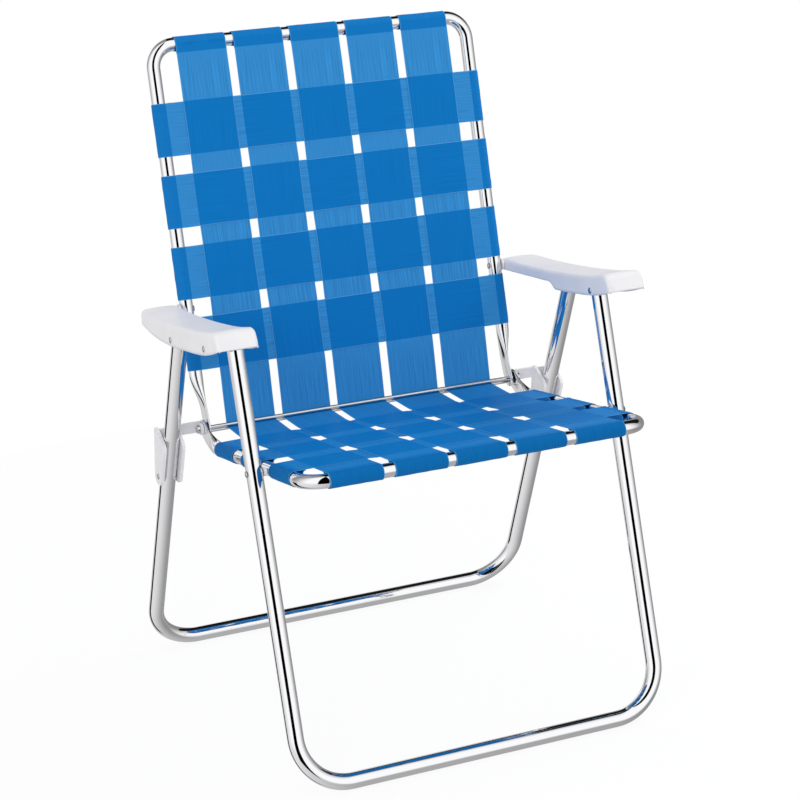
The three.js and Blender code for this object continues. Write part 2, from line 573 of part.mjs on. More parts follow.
// Armrest: drawn in its own plane, a rearwards from the front leg pivot and b upwards
function armrest() {
  const a0 = -ARM_FRONT_BEYOND;
  const a1 = ARM_REACH + ARM_REAR_R;
  const topAt = (share) => THREE.MathUtils.lerp(ARM_TOP_AT_PIVOT, ARM_REAR_R, share);
  const top = (drop) => [
    side(ARM_REACH, ARM_REAR_R - drop),
    side(ARM_REACH * 0.76, topAt(0.98) - drop),
    side(ARM_REACH * 0.5, topAt(0.8) - drop),
    side(ARM_REACH * 0.2, topAt(0.4) - drop),
    side(0, ARM_TOP_AT_PIVOT - drop),
    side(a0 + ARM_FRONT_H * 0.35, ARM_FRONT_H - drop),
  ];
  const outline = (inset, floor) => {
    const shape = new THREE.Shape();
    shape.moveTo(a1 - inset, floor);
    shape.lineTo(a1 - inset, 0);
    shape.absarc(ARM_REACH, 0, ARM_REAR_R - inset, 0, Math.PI / 2, false);
    smoothThrough(top(inset)).slice(1).forEach((p) => shape.lineTo(p.x, p.y));
    shape.quadraticCurveTo(a0 + inset, ARM_FRONT_H - inset, a0 - ARM_FRONT_RAKE * 0.3 + inset, ARM_FRONT_H * 0.7);
    shape.lineTo(a0 - ARM_FRONT_RAKE + inset, ARM_FRONT_LIFT);
    shape.lineTo(a0 - ARM_FRONT_RAKE + inset, floor);
    shape.closePath();
    return shape;
  };
  const floor = -REAR_PIVOT_BELOW - ARM_SKIRT_BELOW_REAR - 2 * ARM_EDGE_R;
  const toChair = new THREE.Matrix4().makeBasis(lift(armBack), lift(armUp), acrossDir)
    .setPosition(lift(frontArmPivot));
  const slab = (shape, x0, x1, bevel) => {
    const rounded = { bevelSize: bevel, bevelThickness: bevel, bevelOffset: -bevel, bevelSegments: 2 };
    const options = { depth: x1 - x0 - 2 * bevel, curveSegments: CURVE_STEPS, bevelEnabled: bevel > 0, ...rounded };
    const geometry = new THREE.ExtrudeGeometry(shape, options);
    geometry.translate(0, 0, x0 + bevel);
    return solidOf(geometry.applyMatrix4(toChair));
  };

  // Plan outline: round corners at the front, a wider one at the outer rear
  const plan = new THREE.Shape();
  const tip = a0 - ARM_FRONT_RAKE;
  plan.moveTo(tip + ARM_FRONT_CORNER_R, armIn);
  plan.lineTo(a1, armIn);
  plan.lineTo(a1, armOut - ARM_REAR_CORNER_R);
  plan.absarc(a1 - ARM_REAR_CORNER_R, armOut - ARM_REAR_CORNER_R, ARM_REAR_CORNER_R, 0, Math.PI / 2, false);
  plan.absarc(tip + ARM_FRONT_CORNER_R, armOut - ARM_FRONT_CORNER_R, ARM_FRONT_CORNER_R, Math.PI / 2, Math.PI, false);
  plan.absarc(tip + ARM_FRONT_CORNER_R, armIn + ARM_FRONT_CORNER_R, ARM_FRONT_CORNER_R, Math.PI, Math.PI * 1.5, false);
  const planSlab = (inset) => {
    const outlinePoints = plan.getPoints(4);
    const middle = side((tip + a1) / 2, (armIn + armOut) / 2);
    const spanA = a1 - tip;
    const spanX = armOut - armIn;
    const shrunk = outlinePoints.map((p) => side(
      middle.x + (p.x - middle.x) * (1 - (2 * inset) / spanA),
      middle.y + (p.y - middle.y) * (1 - (2 * inset) / spanX),
    ));
    const height = ARM_FRONT_H - floor + 2 * ARM_EDGE_R;
    const geometry = new THREE.ExtrudeGeometry(new THREE.Shape(shrunk), { depth: height, bevelEnabled: false });
    geometry.translate(0, 0, floor - ARM_EDGE_R);
    const stand = new THREE.Matrix4().makeBasis(lift(armBack), acrossDir, lift(armUp)).setPosition(lift(frontArmPivot));
    return solidOf(mirrorIfNeeded(geometry, stand));
  };

  // Skirts: what lies below each lower edge is cut away
  const below = (points) => {
    const deep = floor - 2 * ARM_EDGE_R;
    const shape = new THREE.Shape();
    shape.moveTo(tip - ARM_EDGE_R, deep);
    shape.lineTo(tip - ARM_EDGE_R, points[0].y);
    smoothThrough(points).forEach((p) => shape.lineTo(p.x, p.y));
    shape.lineTo(a1 + ARM_EDGE_R, points.at(-1).y);
    shape.lineTo(a1 + ARM_EDGE_R, deep);
    shape.closePath();
    return shape;
  };
  const rearLow = -REAR_PIVOT_BELOW - ARM_SKIRT_BELOW_REAR;
  const frontLow = -ARM_SKIRT_BELOW_FRONT;
  const outerEdge = [
    side(tip + ARM_WALL, ARM_FRONT_LIFT),
    side(a0 * 0.8, 0),
    side(0, frontLow),
    side(rearPivotAlong * 0.57, (frontLow + rearLow * 2) / 3),
    side(rearPivotAlong, rearLow),
    side(rearPivotAlong * 1.5, rearLow + ARM_REAR_LIFT),
    side(ARM_REACH, -ARM_REAR_R),
  ];
  const innerEdge = [
    side(tip + ARM_WALL, ARM_FRONT_LIFT),
    side(a0 * 0.8, 0),
    side(0, frontLow + ARM_INNER_RISE),
    side(rearPivotAlong * 0.64, frontLow - ARM_INNER_DIP),
    side(rearPivotAlong * 0.77, frontLow - ARM_INNER_DIP),
    side(rearPivotAlong * 0.87, frontLow - ARM_INNER_DIP + ARM_INNER_STEP),
    side(rearPivotAlong, frontLow - ARM_INNER_DIP + ARM_INNER_STEP),
    side(ARM_REACH, -ARM_REAR_R),
  ];
  const middle = (armIn + armOut) / 2;
  const shell = slab(outline(0, floor), armIn, armOut, ARM_EDGE_R).intersect(planSlab(0))
    .subtract(slab(outline(ARM_WALL, floor - ARM_EDGE_R), armIn + ARM_WALL, armOut - ARM_WALL, 0)
      .intersect(planSlab(ARM_WALL)))
    .subtract(slab(below(outerEdge), middle, armOut + ARM_EDGE_R, 0))
    .subtract(slab(below(innerEdge), armIn - ARM_EDGE_R, middle + GAP, 0));
  const wallReach = ARM_WALL + ARM_EDGE_R;
  return geometryOf(drilled(shell, [
    [armIn - wallReach, armIn + wallReach, drillR, frontArmPivot],
    [armOut - wallReach, armOut + wallReach, drillR, frontArmPivot],
    [armOut - wallReach, armOut + wallReach, drillR, rearArmPivot],
    [armIn - wallReach, armIn + wallReach, drillR, backPivot],
  ]));
}

function mirrorIfNeeded(geometry, matrix) {
  geometry.applyMatrix4(matrix);
  const flat = geometry.index ? geometry : mergeVertices(geometry);
  return outwards(flat);
}

// Fold link: two flanges beside the rear leg, a plate behind it that reaches in to the hinge rod
function foldLink() {
  const along = hinge.clone().sub(linkPivot).normalize();
  const behind = turned(along).negate();
  const toChair = new THREE.Matrix4().makeBasis(lift(behind), lift(along), acrossDir).setPosition(lift(linkPivot));
  const slab = (shape, x0, x1) => {
    const geometry = new THREE.ExtrudeGeometry(shape, { depth: x1 - x0, bevelEnabled: false, curveSegments: CURVE_STEPS });
    geometry.translate(0, 0, x0);
    return solidOf(mirrorIfNeeded(geometry, toChair));
  };
  const length = hinge.distanceTo(linkPivot);
  const legUp = side(rearUp.dot(behind), rearUp.dot(along));
  const legAhead = side(-legUp.y, legUp.x);
  const frontFoot2 = legAhead.clone().multiplyScalar(LINK_FLANGE_FRONT);
  const frontTop = step(frontFoot2, legUp, length - LINK_FLANGE_T);
  const plateTop = length + LINK_PLATE_H / 2;
  const flange = new THREE.Shape();
  flange.moveTo(frontTop.x, frontTop.y);
  flange.lineTo(frontFoot2.x, frontFoot2.y);
  flange.quadraticCurveTo(frontFoot2.x + LINK_FLANGE_T, -LINK_FLANGE_REAR, 0, -LINK_FLANGE_REAR);
  flange.absarc(0, 0, LINK_FLANGE_REAR, -Math.PI / 2, 0, false);
  flange.lineTo(LINK_FLANGE_REAR, plateTop - LINK_FLANGE_T);
  flange.lineTo(LINK_FLANGE_REAR - LINK_FLANGE_T, plateTop);
  flange.lineTo(0, plateTop);
  const plateAt = (front) => new THREE.Shape([
    side(front, length - LINK_PLATE_H / 2),
    side(front + LINK_PLATE_T, length - LINK_PLATE_H / 2),
    side(front + LINK_PLATE_T, plateTop),
    side(front, plateTop),
  ]);
  const eye = new THREE.Shape();
  eye.absarc(0, length, LINK_END_R, 0, Math.PI * 2, false);
  const body = slab(plateAt(LINK_PLATE_BACK), linkInnerIn, linkOuterOut)
    .add(slab(plateAt(HINGE_CAP_D / 2 + LINK_CLEAR), linkEndIn, linkInnerOut))
    .add(slab(eye, linkEndIn, linkEndOut))
    .add(slab(flange, linkInnerIn, linkInnerOut))
    .add(slab(flange, linkOuterIn, linkOuterOut));
  return geometryOf(drilled(body, [
    [linkEndIn - GAP, linkEndOut + LINK_END_T, hingeDrillR, hinge],
    [linkInnerIn - GAP, linkOuterOut + GAP, drillR, linkPivot],
  ]));
}

// Materials
const finish = (color, metalness, roughness) => new THREE.MeshStandardMaterial({ color, metalness, roughness });
const aluminium = () => finish(0xd9dadc, 1, 0.22);
const steel = () => finish(0xb9bcc0, 1, 0.3);
const zinc = () => finish(0x5c5f63, 1, 0.45);
const whitePlastic = () => finish(0xe4e6ea, 0, 0.4);
const blueWeb = () => finish(0x1b76c4, 0, 0.7);

const chair = new THREE.Group();
function piece(name, geometry, material) {
  const mesh = new THREE.Mesh(geometry, material);
  mesh.name = name;
  chair.add(mesh);
}
function pair(name, geometry, material) {
  piece(`${name}_right`, geometry, material());
  piece(`${name}_left`, mirrored(geometry), material());
}

piece('front_leg_hoop', frontLegs, aluminium());
piece('rear_leg_hoop', rearLegs, aluminium());
piece('back_frame', backFrame, aluminium());
piece('seat_frame', seatFrame, aluminium());
piece('hinge_rod', hingeRod, steel());
piece('back_lower_rod', lowerRod, steel());
backWebs.forEach((web, i) => piece(`back_web_${i + 1}`, web, blueWeb()));
backCrossWebs.forEach((web, j) => piece(`back_cross_web_${j + 1}`, web, blueWeb()));
seatWebs.forEach((web, i) => piece(`seat_web_${i + 1}`, web, blueWeb()));
seatCrossWebs.forEach((web, j) => piece(`seat_cross_web_${j + 1}`, web, blueWeb()));
pair('armrest', armrest(), whitePlastic);
pair('fold_link', foldLink(), whitePlastic);

// Pivots across each side, right hand first
const legFaceIn = frontHalf - LEG_R;
const seatFaceIn = seatHalf - FRAME_R;
const backFaceIn = backHalf - FRAME_R;
pair('arm_front_rivet', rivetAcross(armIn - GAP, armOut + GAP, frontArmPivot), steel);
pair('arm_rear_rivet', rivetAcross(rearHalf - LEG_R - GAP, armOut + GAP, rearArmPivot), steel);
pair('arm_back_bolt', rivetAcross(backFaceIn - GAP, armIn + ARM_WALL + BOLT_NUT_T, backPivot, [true, false]), steel);
pair('arm_back_nut', ringAcross(
  armIn + ARM_WALL + GAP, armIn + ARM_WALL + BOLT_NUT_T, drillR, RIVET_HEAD_R, backPivot,
), steel);
pair('arm_spacer', ringAcross(backHalf + FRAME_R + GAP, armIn - GAP, drillR, ARM_SPACER_D / 2, backPivot), whitePlastic);
pair('seat_pivot_rivet', rivetAcross(seatFaceIn - GAP, frontHalf + LEG_R + GAP, seatPivot), steel);
pair('seat_pivot_spacer', ringAcross(
  seatHalf + FRAME_R + GAP, legFaceIn - GAP, drillR, SPACER_D / 2, seatPivot,
), whitePlastic);
pair('link_outer_rivet', rivetAcross(linkOuterIn, linkOuterOut + GAP, linkPivot, [false, true]), steel);
pair('link_inner_rivet', rivetAcross(linkInnerIn - GAP, linkInnerOut, linkPivot, [true, false]), steel);
pair('hinge_washer', ringAcross(
  backStripOut + GAP, seatStripIn - GAP, hingeDrillR, HINGE_WASHER_D / 2, hinge,
), zinc);
pair('hinge_cap', ringAcross(capIn, capOut, hingeDrillR, HINGE_CAP_D / 2, hinge), zinc);

// The origin is on the ground, in the middle of the chair's length
const box = new THREE.Box3().setFromObject(chair);
chair.position.y = -(box.min.y + box.max.y) / 2;
chair.updateMatrixWorld(true);

// Pivot lines, as (y, z) from the origin
const pivots = { seatPivot, frontArmPivot, rearArmPivot, backPivot, hinge, linkPivot, frontFoot, rearFoot };
chair.userData.pivots = Object.fromEntries(
  Object.entries(pivots).map(([name, p]) => [name, [p.x + chair.position.y, p.y]]),
);

export default chair;
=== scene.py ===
"""Folding webbed lawn chair: the look of the part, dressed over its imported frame.

Metres, +Z up, the sitter faces -Y and X runs across the chair.
"""

import json
import math

import bmesh
import bpy
from bpy.props import FloatProperty, FloatVectorProperty, IntProperty, PointerProperty
from mathutils import Matrix, Vector, noise


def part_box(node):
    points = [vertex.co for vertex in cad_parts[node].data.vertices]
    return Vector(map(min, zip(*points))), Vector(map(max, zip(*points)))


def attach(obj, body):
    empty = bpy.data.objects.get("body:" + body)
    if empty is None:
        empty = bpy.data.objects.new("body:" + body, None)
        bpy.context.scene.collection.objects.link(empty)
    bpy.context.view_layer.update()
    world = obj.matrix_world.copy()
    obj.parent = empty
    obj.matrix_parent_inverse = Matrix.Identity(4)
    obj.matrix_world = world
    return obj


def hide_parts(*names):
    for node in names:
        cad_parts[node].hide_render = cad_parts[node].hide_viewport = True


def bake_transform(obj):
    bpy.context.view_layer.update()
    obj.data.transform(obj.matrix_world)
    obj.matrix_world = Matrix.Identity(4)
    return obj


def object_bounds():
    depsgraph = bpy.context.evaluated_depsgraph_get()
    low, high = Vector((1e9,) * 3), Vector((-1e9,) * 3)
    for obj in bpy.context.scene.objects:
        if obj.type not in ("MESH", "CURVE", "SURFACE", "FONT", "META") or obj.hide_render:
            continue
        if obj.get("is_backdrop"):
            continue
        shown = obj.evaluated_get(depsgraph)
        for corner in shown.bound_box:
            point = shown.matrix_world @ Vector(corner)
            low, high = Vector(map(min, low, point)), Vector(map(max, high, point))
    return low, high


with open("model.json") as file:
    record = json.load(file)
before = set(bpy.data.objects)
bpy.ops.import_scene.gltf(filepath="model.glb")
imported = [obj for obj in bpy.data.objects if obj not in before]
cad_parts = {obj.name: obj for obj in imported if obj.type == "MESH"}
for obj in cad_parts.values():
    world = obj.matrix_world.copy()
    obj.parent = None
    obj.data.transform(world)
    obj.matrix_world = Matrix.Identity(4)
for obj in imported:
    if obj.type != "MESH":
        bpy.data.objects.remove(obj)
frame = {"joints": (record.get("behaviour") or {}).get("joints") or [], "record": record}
CAD_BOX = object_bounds()

bl_info = {
    "name": "Folding Webbed Lawn Chair",
    "version": (1, 0, 0),
    "blender": (4, 5, 0),
    "location": "View3D > Sidebar > Lawn Chair",
    "description": "Dresses a folding lawn chair of bent tube and woven webs over its packed frame",
    "category": "Object",
}

MM = 0.001
ACROSS = Vector((1, 0, 0))
JOINT_AT = {joint["name"]: Vector(joint["pos_m"]) for joint in frame["joints"]}
BODY_OF = {
    node: body
    for body, nodes in frame["record"]["behaviour"]["bodies"].items()
    for node in nodes
}
SIDES = (("right", 1), ("left", -1))
WHITE = (1, 1, 1, 1)
PLASTIC_IOR = 1.49
TINY = 1e-9

# Air between parts that touch, and between a fold link and its leg
FIT = 0.0003
LINK_FIT = 0.0005
# Thickness of a fold link's cheeks, and the degrees past which its edges are rounded
CHEEK = 0.003
LINK_SHARP = 35
# Straight tube after a bend, and how square a flattened tube is, where 1 is round
BEND_RUN = 0.001
FLAT_SQUARE = 0.55
# The least height of an armrest's side, where its end thins out
LEAST_SKIRT = 0.00005

# How finely curved surfaces are drawn
TUBE_SIDES = 40
BEND_STEPS = 20
TURNED_SIDES = 40
DOME_STEPS = 7
WRAP_STEPS = 36
HEM_STEPS = (3, 6, 4)
CROSSING_STEPS = 18
SLOPE_STEP = 0.004

# How dark a web is drawn where it is single and where it is bound round a tube, as painted light
# and shade. 0 is one layer with light behind it, 1 is two layers, and past 1 it darkens on. Less
# light comes through the seat, so its singles carry painted shade, and its bound ends carry more
# painted shade for the dimmer light on the seat's front.
BACK_SHADES = (0.0, 0.9)
SEAT_SHADES = (0.5, 1.4)
HEM_SHADE = 0.95
TWO_LAYERS = 1
# Where a hem's end leaves the web, and how much of the way to the tube it takes to bend
HEM_LIFT = 0.004
HEM_BOW = 0.35
# How far a web runs level beside one that it crosses
CROSSING_RUN = 0.001
# The length of a wander, and the size of a pucker across and along
WANDER_RUN = 0.05
PUCKER_SIZE = (0.011, 0.012)


def linear(colour):
    """Linear RGB of an sRGB hex colour"""
    parts = [int(colour[i : i + 2], 16) / 255 for i in (1, 3, 5)]
    return [c / 12.92 if c <= 0.04045 else ((c + 0.055) / 1.055) ** 2.4 for c in parts]


def length(name, description, default):
    return FloatProperty(
        name=name,
        description=description,
        default=default,
        min=0.0,
        precision=4,
        unit="LENGTH",
        subtype="DISTANCE",
    )


def angle(name, description, degrees):
    return FloatProperty(
        name=name,
        description=description,
        default=math.radians(degrees),
        unit="ROTATION",
        subtype="ANGLE",
    )


def colour(name, description, default):
    return FloatVectorProperty(
        name=name,
        description=description,
        default=linear(default),
        size=3,
        min=0.0,
        max=1.0,
        subtype="COLOR",
    )


def count(name, description, default):
    return IntProperty(name=name, description=description, default=default, min=1)


def group(kind, name, description):
    return PointerProperty(type=kind, name=name, description=description)


def half_width(node, radius=0.0111):
    """Half the width of a packed leg hoop, to its tube's middle: its tube there has 12 flats"""
    return round(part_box(node)[1].x - radius * math.cos(math.pi / 12), 5)


class LawnChairTubes(bpy.types.PropertyGroup):
    """Bent tube of the four hoops"""

    leg_diameter: length("Leg tube", "Outside diameter of the leg hoops' tube", 0.0222)
    leg_wall: length("Leg tube wall", "Wall of the leg hoops' tube", 0.0012)
    leg_bend: length("Leg bend", "Bend radius at the feet, to the tube's middle", 0.070)
    leg_beyond: length("Leg top", "How far a leg runs on past its armrest pivot", 0.013)
    front_half: length(
        "Front legs, half width",
        "From the middle to the front leg",
        half_width("front_leg_hoop"),
    )
    rear_half: length(
        "Rear legs, half width",
        "From the middle to the rear leg",
        half_width("rear_leg_hoop"),
    )
    frame_diameter: length("Frame tube", "Outside diameter of the back and seat hoops' tube", 0.019)
    seat_half: length("Seat, half width", "From the middle to the seat's side tube", 0.2428)
    seat_bend: length("Seat bend", "Bend radius at the seat's front corners", 0.034)
    seat_reach: length("Seat reach", "From the seat's pivot to its front bar", 0.128)
    seat_tilt: angle("Seat tilt", "Rise of the seat towards its front", 10.6)
    back_half: length("Back, half width", "From the middle to the back's side tube", 0.2408)
    back_bend: length("Back bend", "Bend radius at the back's top corners", 0.032)
    back_reach: length("Back reach", "From the back's pivot to its top bar", 0.367)
    back_lean: angle("Back lean", "Lean of the back from upright", 15.46)
    strip_thickness: length("Flattened end", "Thickness of the tube where it is flattened", 0.004)
    seat_strip: length("Seat end, half width", "Half the flattened seat end's width", 0.013)
    back_strip: length("Back end, half width", "Half the flattened back end's width", 0.012)
    seat_blend: length("Seat end, length", "Length over which the seat tube is flattened", 0.062)
    back_blend: length("Back end, length", "Length over which the back tube is flattened", 0.0775)
    back_inset: length("Back end, inset", "How far the back's flattened end steps in", 0.004)


class LawnChairWebs(bpy.types.PropertyGroup):
    """Woven webs of the back and the seat"""

    width: length("Web width", "Width of every web", 0.074)
    thickness: length("Web thickness", "Thickness of every web", 0.0006)
    clearance: length("Weave clearance", "Air between two webs that cross", 0.00015)
    gap: length("Gap", "Between long webs, side by side", 0.0114)
    long_count: count("Long webs", "Webs from top bar to front bar", 5)
    back_first: length("First back web", "From the top bar to the first cross web's middle", 0.117)
    back_pitch: length("Back web pitch", "From one cross web on the back to the next", 0.100)
    back_count: count("Back cross webs", "Webs across the back", 4)
    seat_first: length("First seat web", "From the front bar to the first web's middle", 0.081)
    seat_pitch: length("Seat web pitch", "From one cross web on the seat to the next", 0.10622)
    seat_count: count("Seat cross webs", "Webs across the seat", 3)
    wrap: angle("Wrap", "How far a web goes round its tube", 256)
    hem_start: length("Hem start", "Where the turned-in end meets the web again", 0.0108)
    hem_end: length("Hem end", "Where the turned-in end stops", 0.0150)
    # Painted shade: how far from its tube a web is drawn darker for the tube and hem behind it
    long_shade: length("Long web shade", "How far the tube and hem darken a long web", 0.013)
    cross_shade: length("Cross web shade", "How far the tube and hem darken a cross web", 0.007)
    pucker: length("Pucker", "How far a web puckers where it is drawn round a tube", 0.0006)
    wander: length("Wander", "How far a web's edges wander from straight", 0.0004)
    drift: FloatVectorProperty(
        name="Drift",
        description="How far each long web has slid to the right at the seat's front bar",
        default=(-0.0095, -0.0048, -0.0050, -0.0038, -0.0012),
        size=5,
        unit="LENGTH",
    )
    selvedge: length("Selvedge", "Width of the thicker edge of a web", 0.0025)
    thread: length("Thread spacing", "Spacing of the weave as it is drawn", 0.0026)


class LawnChairMouldings(bpy.types.PropertyGroup):
    """Moulded armrests and fold links"""

    wall: length("Armrest wall", "Wall of the armrest", 0.0025)
    clearance: length("Armrest clearance", "Air between an armrest and the legs in it", 0.0004)
    edge: length("Armrest edge", "Radius along the armrest's long edges", 0.0055)
    front_beyond: length("Armrest front", "How far it runs on past the front leg's pivot", 0.047)
    front_rake: length("Front rake", "How far the front face leans forward at its foot", 0.012)
    front_height: length("Front height", "Height of the front end above the pivots", 0.028)
    front_lift: length("Front lift", "Height of the front's lower edge above the pivots", 0.0062)
    top_at_pivot: length("Top height", "Height of the top above the front leg's pivot", 0.022)
    rear_radius: length("Rear end", "Radius of the rear end, seen from the side", 0.008)
    front_corner: length("Front corners", "Radius of the front corners, seen from above", 0.010)
    rear_corner: length("Rear corner", "Radius of the outer rear corner, seen from above", 0.022)
    skirt_front: length("Front skirt", "Depth of the skirt below the front leg's pivot", 0.0085)
    skirt_rear: length("Rear skirt", "Depth of the skirt below the rear leg's pivot", 0.0082)
    crown: length("Crown", "How far the armrest's top is rounded across", 0.0008)
    link_edge: length("Link edge", "Rounding of the fold link's edges", 0.0007)
    link_rim: length("Link rim", "Width of the raised rim round a fold link's cheeks", 0.0028)
    link_bead: length("Link bead", "How far that rim stands out", 0.0012)


class LawnChairFastenings(bpy.types.PropertyGroup):
    """Rods, rivets, bolts and washers"""

    rod: length("Hinge rod", "Diameter of the hinge rod", 0.006)
    lower_rod: length("Lower rod", "Diameter of the rod behind the webs' turn", 0.005)
    rivet: length("Rivets", "Diameter of a rivet", 0.006)
    rivet_head: length("Rivet head", "Diameter of a rivet's head", 0.009)
    rivet_dome: length("Rivet dome", "Height of a rivet's head", 0.0014)


class LawnChairColours(bpy.types.PropertyGroup):
    """Colours of the finishes"""

    aluminium: colour("Aluminium", "Polished tube", "#f4f4f6")
    steel: colour("Plated steel", "Rods, rivets, nuts and caps", "#d6d7da")
    dark_steel: colour("Dark steel", "Washers at the hinge", "#4a4c50")
    plastic: colour("White plastic", "Armrests, links and spacers", "#eeedf0")
    # Painted light and shade: one layer is drawn paler for the light through it, two layers darker
    web_single: colour("Web, one layer", "Web with light behind it", "#3489ca")
    web_double: colour("Web, two layers", "Web where it is doubled", "#0a73bd")
    # Painted highlight: a paler colour along a web's edges, for the light its edge thread catches
    web_edge: colour("Web edge", "Edge thread of a web's selvedge", "#6fb1e4")
    floor: colour("Floor", "Studio floor", "#e4e4e4")


class LawnChairSettings(bpy.types.PropertyGroup):
    """All sizes and colours of the chair"""

    tubes: group(LawnChairTubes, "Tubes", "Bent tube")
    webs: group(LawnChairWebs, "Webs", "Woven webs")
    mouldings: group(LawnChairMouldings, "Mouldings", "Moulded parts")
    fastenings: group(LawnChairFastenings, "Fastenings", "Rods and rivets")
    colours: group(LawnChairColours, "Colours", "Colours of the finishes")


def turned(direction):
    """A direction of the side view, a quarter turn on"""
    return Vector((0, -direction.z, direction.y))


def middle_of(node):
    """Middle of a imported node, in the side view"""
    low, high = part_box(node)
    return Vector((0, (low.y + high.y) / 2, (low.z + high.z) / 2))


class SideView:
    """Pivots, directions and hoops of the side view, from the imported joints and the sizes"""

    def __init__(self, settings):
        t = settings.tubes
        self.hinge = JOINT_AT["seat_fold"]
        self.back_pivot = JOINT_AT["back_fold"]
        self.front_arm = JOINT_AT["front_leg_fold"]
        self.rear_arm = JOINT_AT["arm_fold"]
        self.seat_pivot = self.hinge + self.front_arm - self.back_pivot
        self.link_pivot = middle_of("link_outer_rivet_right")
        self.lower_rod = middle_of("back_lower_rod")
        self.front_up = (self.front_arm - self.seat_pivot).normalized()
        self.rear_up = (self.rear_arm - self.link_pivot).normalized()
        self.arm_back = (self.back_pivot - self.front_arm).normalized()
        self.arm_up = turned(self.arm_back)
        back_up = Vector((0, math.sin(t.back_lean), math.cos(t.back_lean)))
        seat_up = Vector((0, math.sin(t.seat_tilt), math.cos(t.seat_tilt)))
        seat_ahead = turned(seat_up)
        top = self.back_pivot + back_up * t.back_reach
        front = self.seat_pivot + seat_ahead * t.seat_reach
        self.back = Hoop(top, -back_up, turned(back_up), t.back_half, t.back_bend)
        self.seat = Hoop(front, -seat_ahead, seat_up, t.seat_half, t.seat_bend)


def arm_sides(settings):
    """Inner and outer side of an armrest, from the chair's middle"""
    t, m = settings.tubes, settings.mouldings
    beside = t.leg_diameter / 2 + m.clearance + m.wall
    return t.front_half - beside, t.rear_half + beside


def link_sides(tubes):
    """Where a fold link's cheeks face the rear leg, on its inner and outer side"""
    leg = tubes.leg_diameter / 2
    return tubes.rear_half - leg - LINK_FIT, tubes.rear_half + leg + LINK_FIT


# Lines


def smooth_step(t, low, high):
    t = min(max((t - low) / (high - low), 0), 1)
    return t * t * (3 - 2 * t)


def mix(a, b, t):
    return a + (b - a) * t


def between(a, b, steps):
    """Even steps from a to b, without b"""
    return [mix(a, b, k / steps) for k in range(steps)]


def bow(begin, corner, end, steps):
    """Points of a curve that leaves its beginning and meets its end in line with a corner"""
    shares = [k / steps for k in range(steps + 1)]
    return [begin * (1 - t) ** 2 + corner * (2 * t * (1 - t)) + end * t**2 for t in shares]


def arc(x, y, radius, turns):
    return [Vector((x + radius * math.cos(t), y + radius * math.sin(t))) for t in turns]


def run_of(points):
    return sum((q - p).length for p, q in zip(points, points[1:]))


def smooth_through(points, steps=14):
    """A smooth line through points, without loops however they are spaced"""
    points = [Vector(p) for p in points]
    chain = [points[0] * 2 - points[1], *points, points[-1] * 2 - points[-2]]
    line = []
    for p0, p1, p2, p3 in zip(chain, chain[1:], chain[2:], chain[3:]):
        t1 = max((p1 - p0).length, TINY) ** 0.5
        t2 = t1 + max((p2 - p1).length, TINY) ** 0.5
        t3 = t2 + max((p3 - p2).length, TINY) ** 0.5
        for t in between(t1, t2, steps):
            a1 = p0 * ((t1 - t) / t1) + p1 * (t / t1)
            a2 = p1 * ((t2 - t) / (t2 - t1)) + p2 * ((t - t1) / (t2 - t1))
            a3 = p2 * ((t3 - t) / (t3 - t2)) + p3 * ((t - t2) / (t3 - t2))
            b1 = a1 * ((t2 - t) / t2) + a2 * (t / t2)
            b2 = a2 * ((t3 - t) / (t3 - t1)) + a3 * ((t - t1) / (t3 - t1))
            line.append(b1 * ((t2 - t) / (t2 - t1)) + b2 * ((t - t1) / (t2 - t1)))
    line.append(points[-1])
    return line


def height_at(line, a):
    """Height of a line of (a, b) points at a, level past its ends"""
    if a <= line[0].x:
        return line[0].y
    for p, q in zip(line, line[1:]):
        if a <= q.x:
            return mix(p.y, q.y, (a - p.x) / max(q.x - p.x, TINY))
    return line[-1].y


# Meshes. A shape is a pair of its points and its faces.


def new_object(name, verts, faces):
    mesh = bpy.data.meshes.new(name)
    mesh.from_pydata([tuple(v) for v in verts], [], faces)
    made = bpy.data.objects.new(name, mesh)
    bpy.context.scene.collection.objects.link(made)
    return made


def add_piece(name, shape, finish, nodes, sharp=40):
    """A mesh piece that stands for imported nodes, its edges sharp past that many degrees"""
    material, slot = finish
    piece = new_object(name, *shape)
    mesh = piece.data
    mesh.validate()
    mesh.polygons.foreach_set("use_smooth", [True] * len(mesh.polygons))
    mesh.set_sharp_from_angle(angle=math.radians(sharp))
    mesh.materials.append(material)
    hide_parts(*nodes)
    return piece


def face_outwards(piece):
    bm = bmesh.new()
    bm.from_mesh(piece.data)
    bmesh.ops.recalc_face_normals(bm, faces=bm.faces)
    bm.to_mesh(piece.data)
    bm.free()


def add_solid(name, node, shape, finish, sharp=40):
    """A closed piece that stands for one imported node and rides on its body"""
    piece = add_piece(name, shape, finish, [node], sharp)
    face_outwards(piece)
    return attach(piece, BODY_OF[node])


def grid(rows, count, loop=False, ring=True):
    """Faces between rows of points. A loop joins the last row to the first, a ring closes each"""
    faces = []
    for r in range(rows if loop else rows - 1):
        low, high = r * count, (r + 1) % rows * count
        for k in range(count if ring else count - 1):
            n = (k + 1) % count
            faces.append((low + k, low + n, high + n, high + k))
    return faces


def skin(rings, closed=False):
    """A skin over rings of equal count, closed on itself or by its end faces"""
    count = len(rings[0])
    faces = grid(len(rings), count, loop=closed)
    if not closed:
        last = (len(rings) - 1) * count
        faces += [tuple(reversed(range(count))), tuple(range(last, last + count))]
    return [p for ring in rings for p in ring], faces


def tube_ring(middle, outward, raised, thick, wide, square=1.0):
    """A tube's section: round, or squared off where it is flattened"""
    points = []
    for k in range(TUBE_SIDES):
        turn = 2 * math.pi * (k + 0.5) / TUBE_SIDES
        c, s = math.cos(turn), math.sin(turn)
        out = math.copysign(abs(c) ** square, c)
        rise = math.copysign(abs(s) ** square, s)
        points.append(middle + outward * (thick * out) + raised * (wide * rise))
    return points


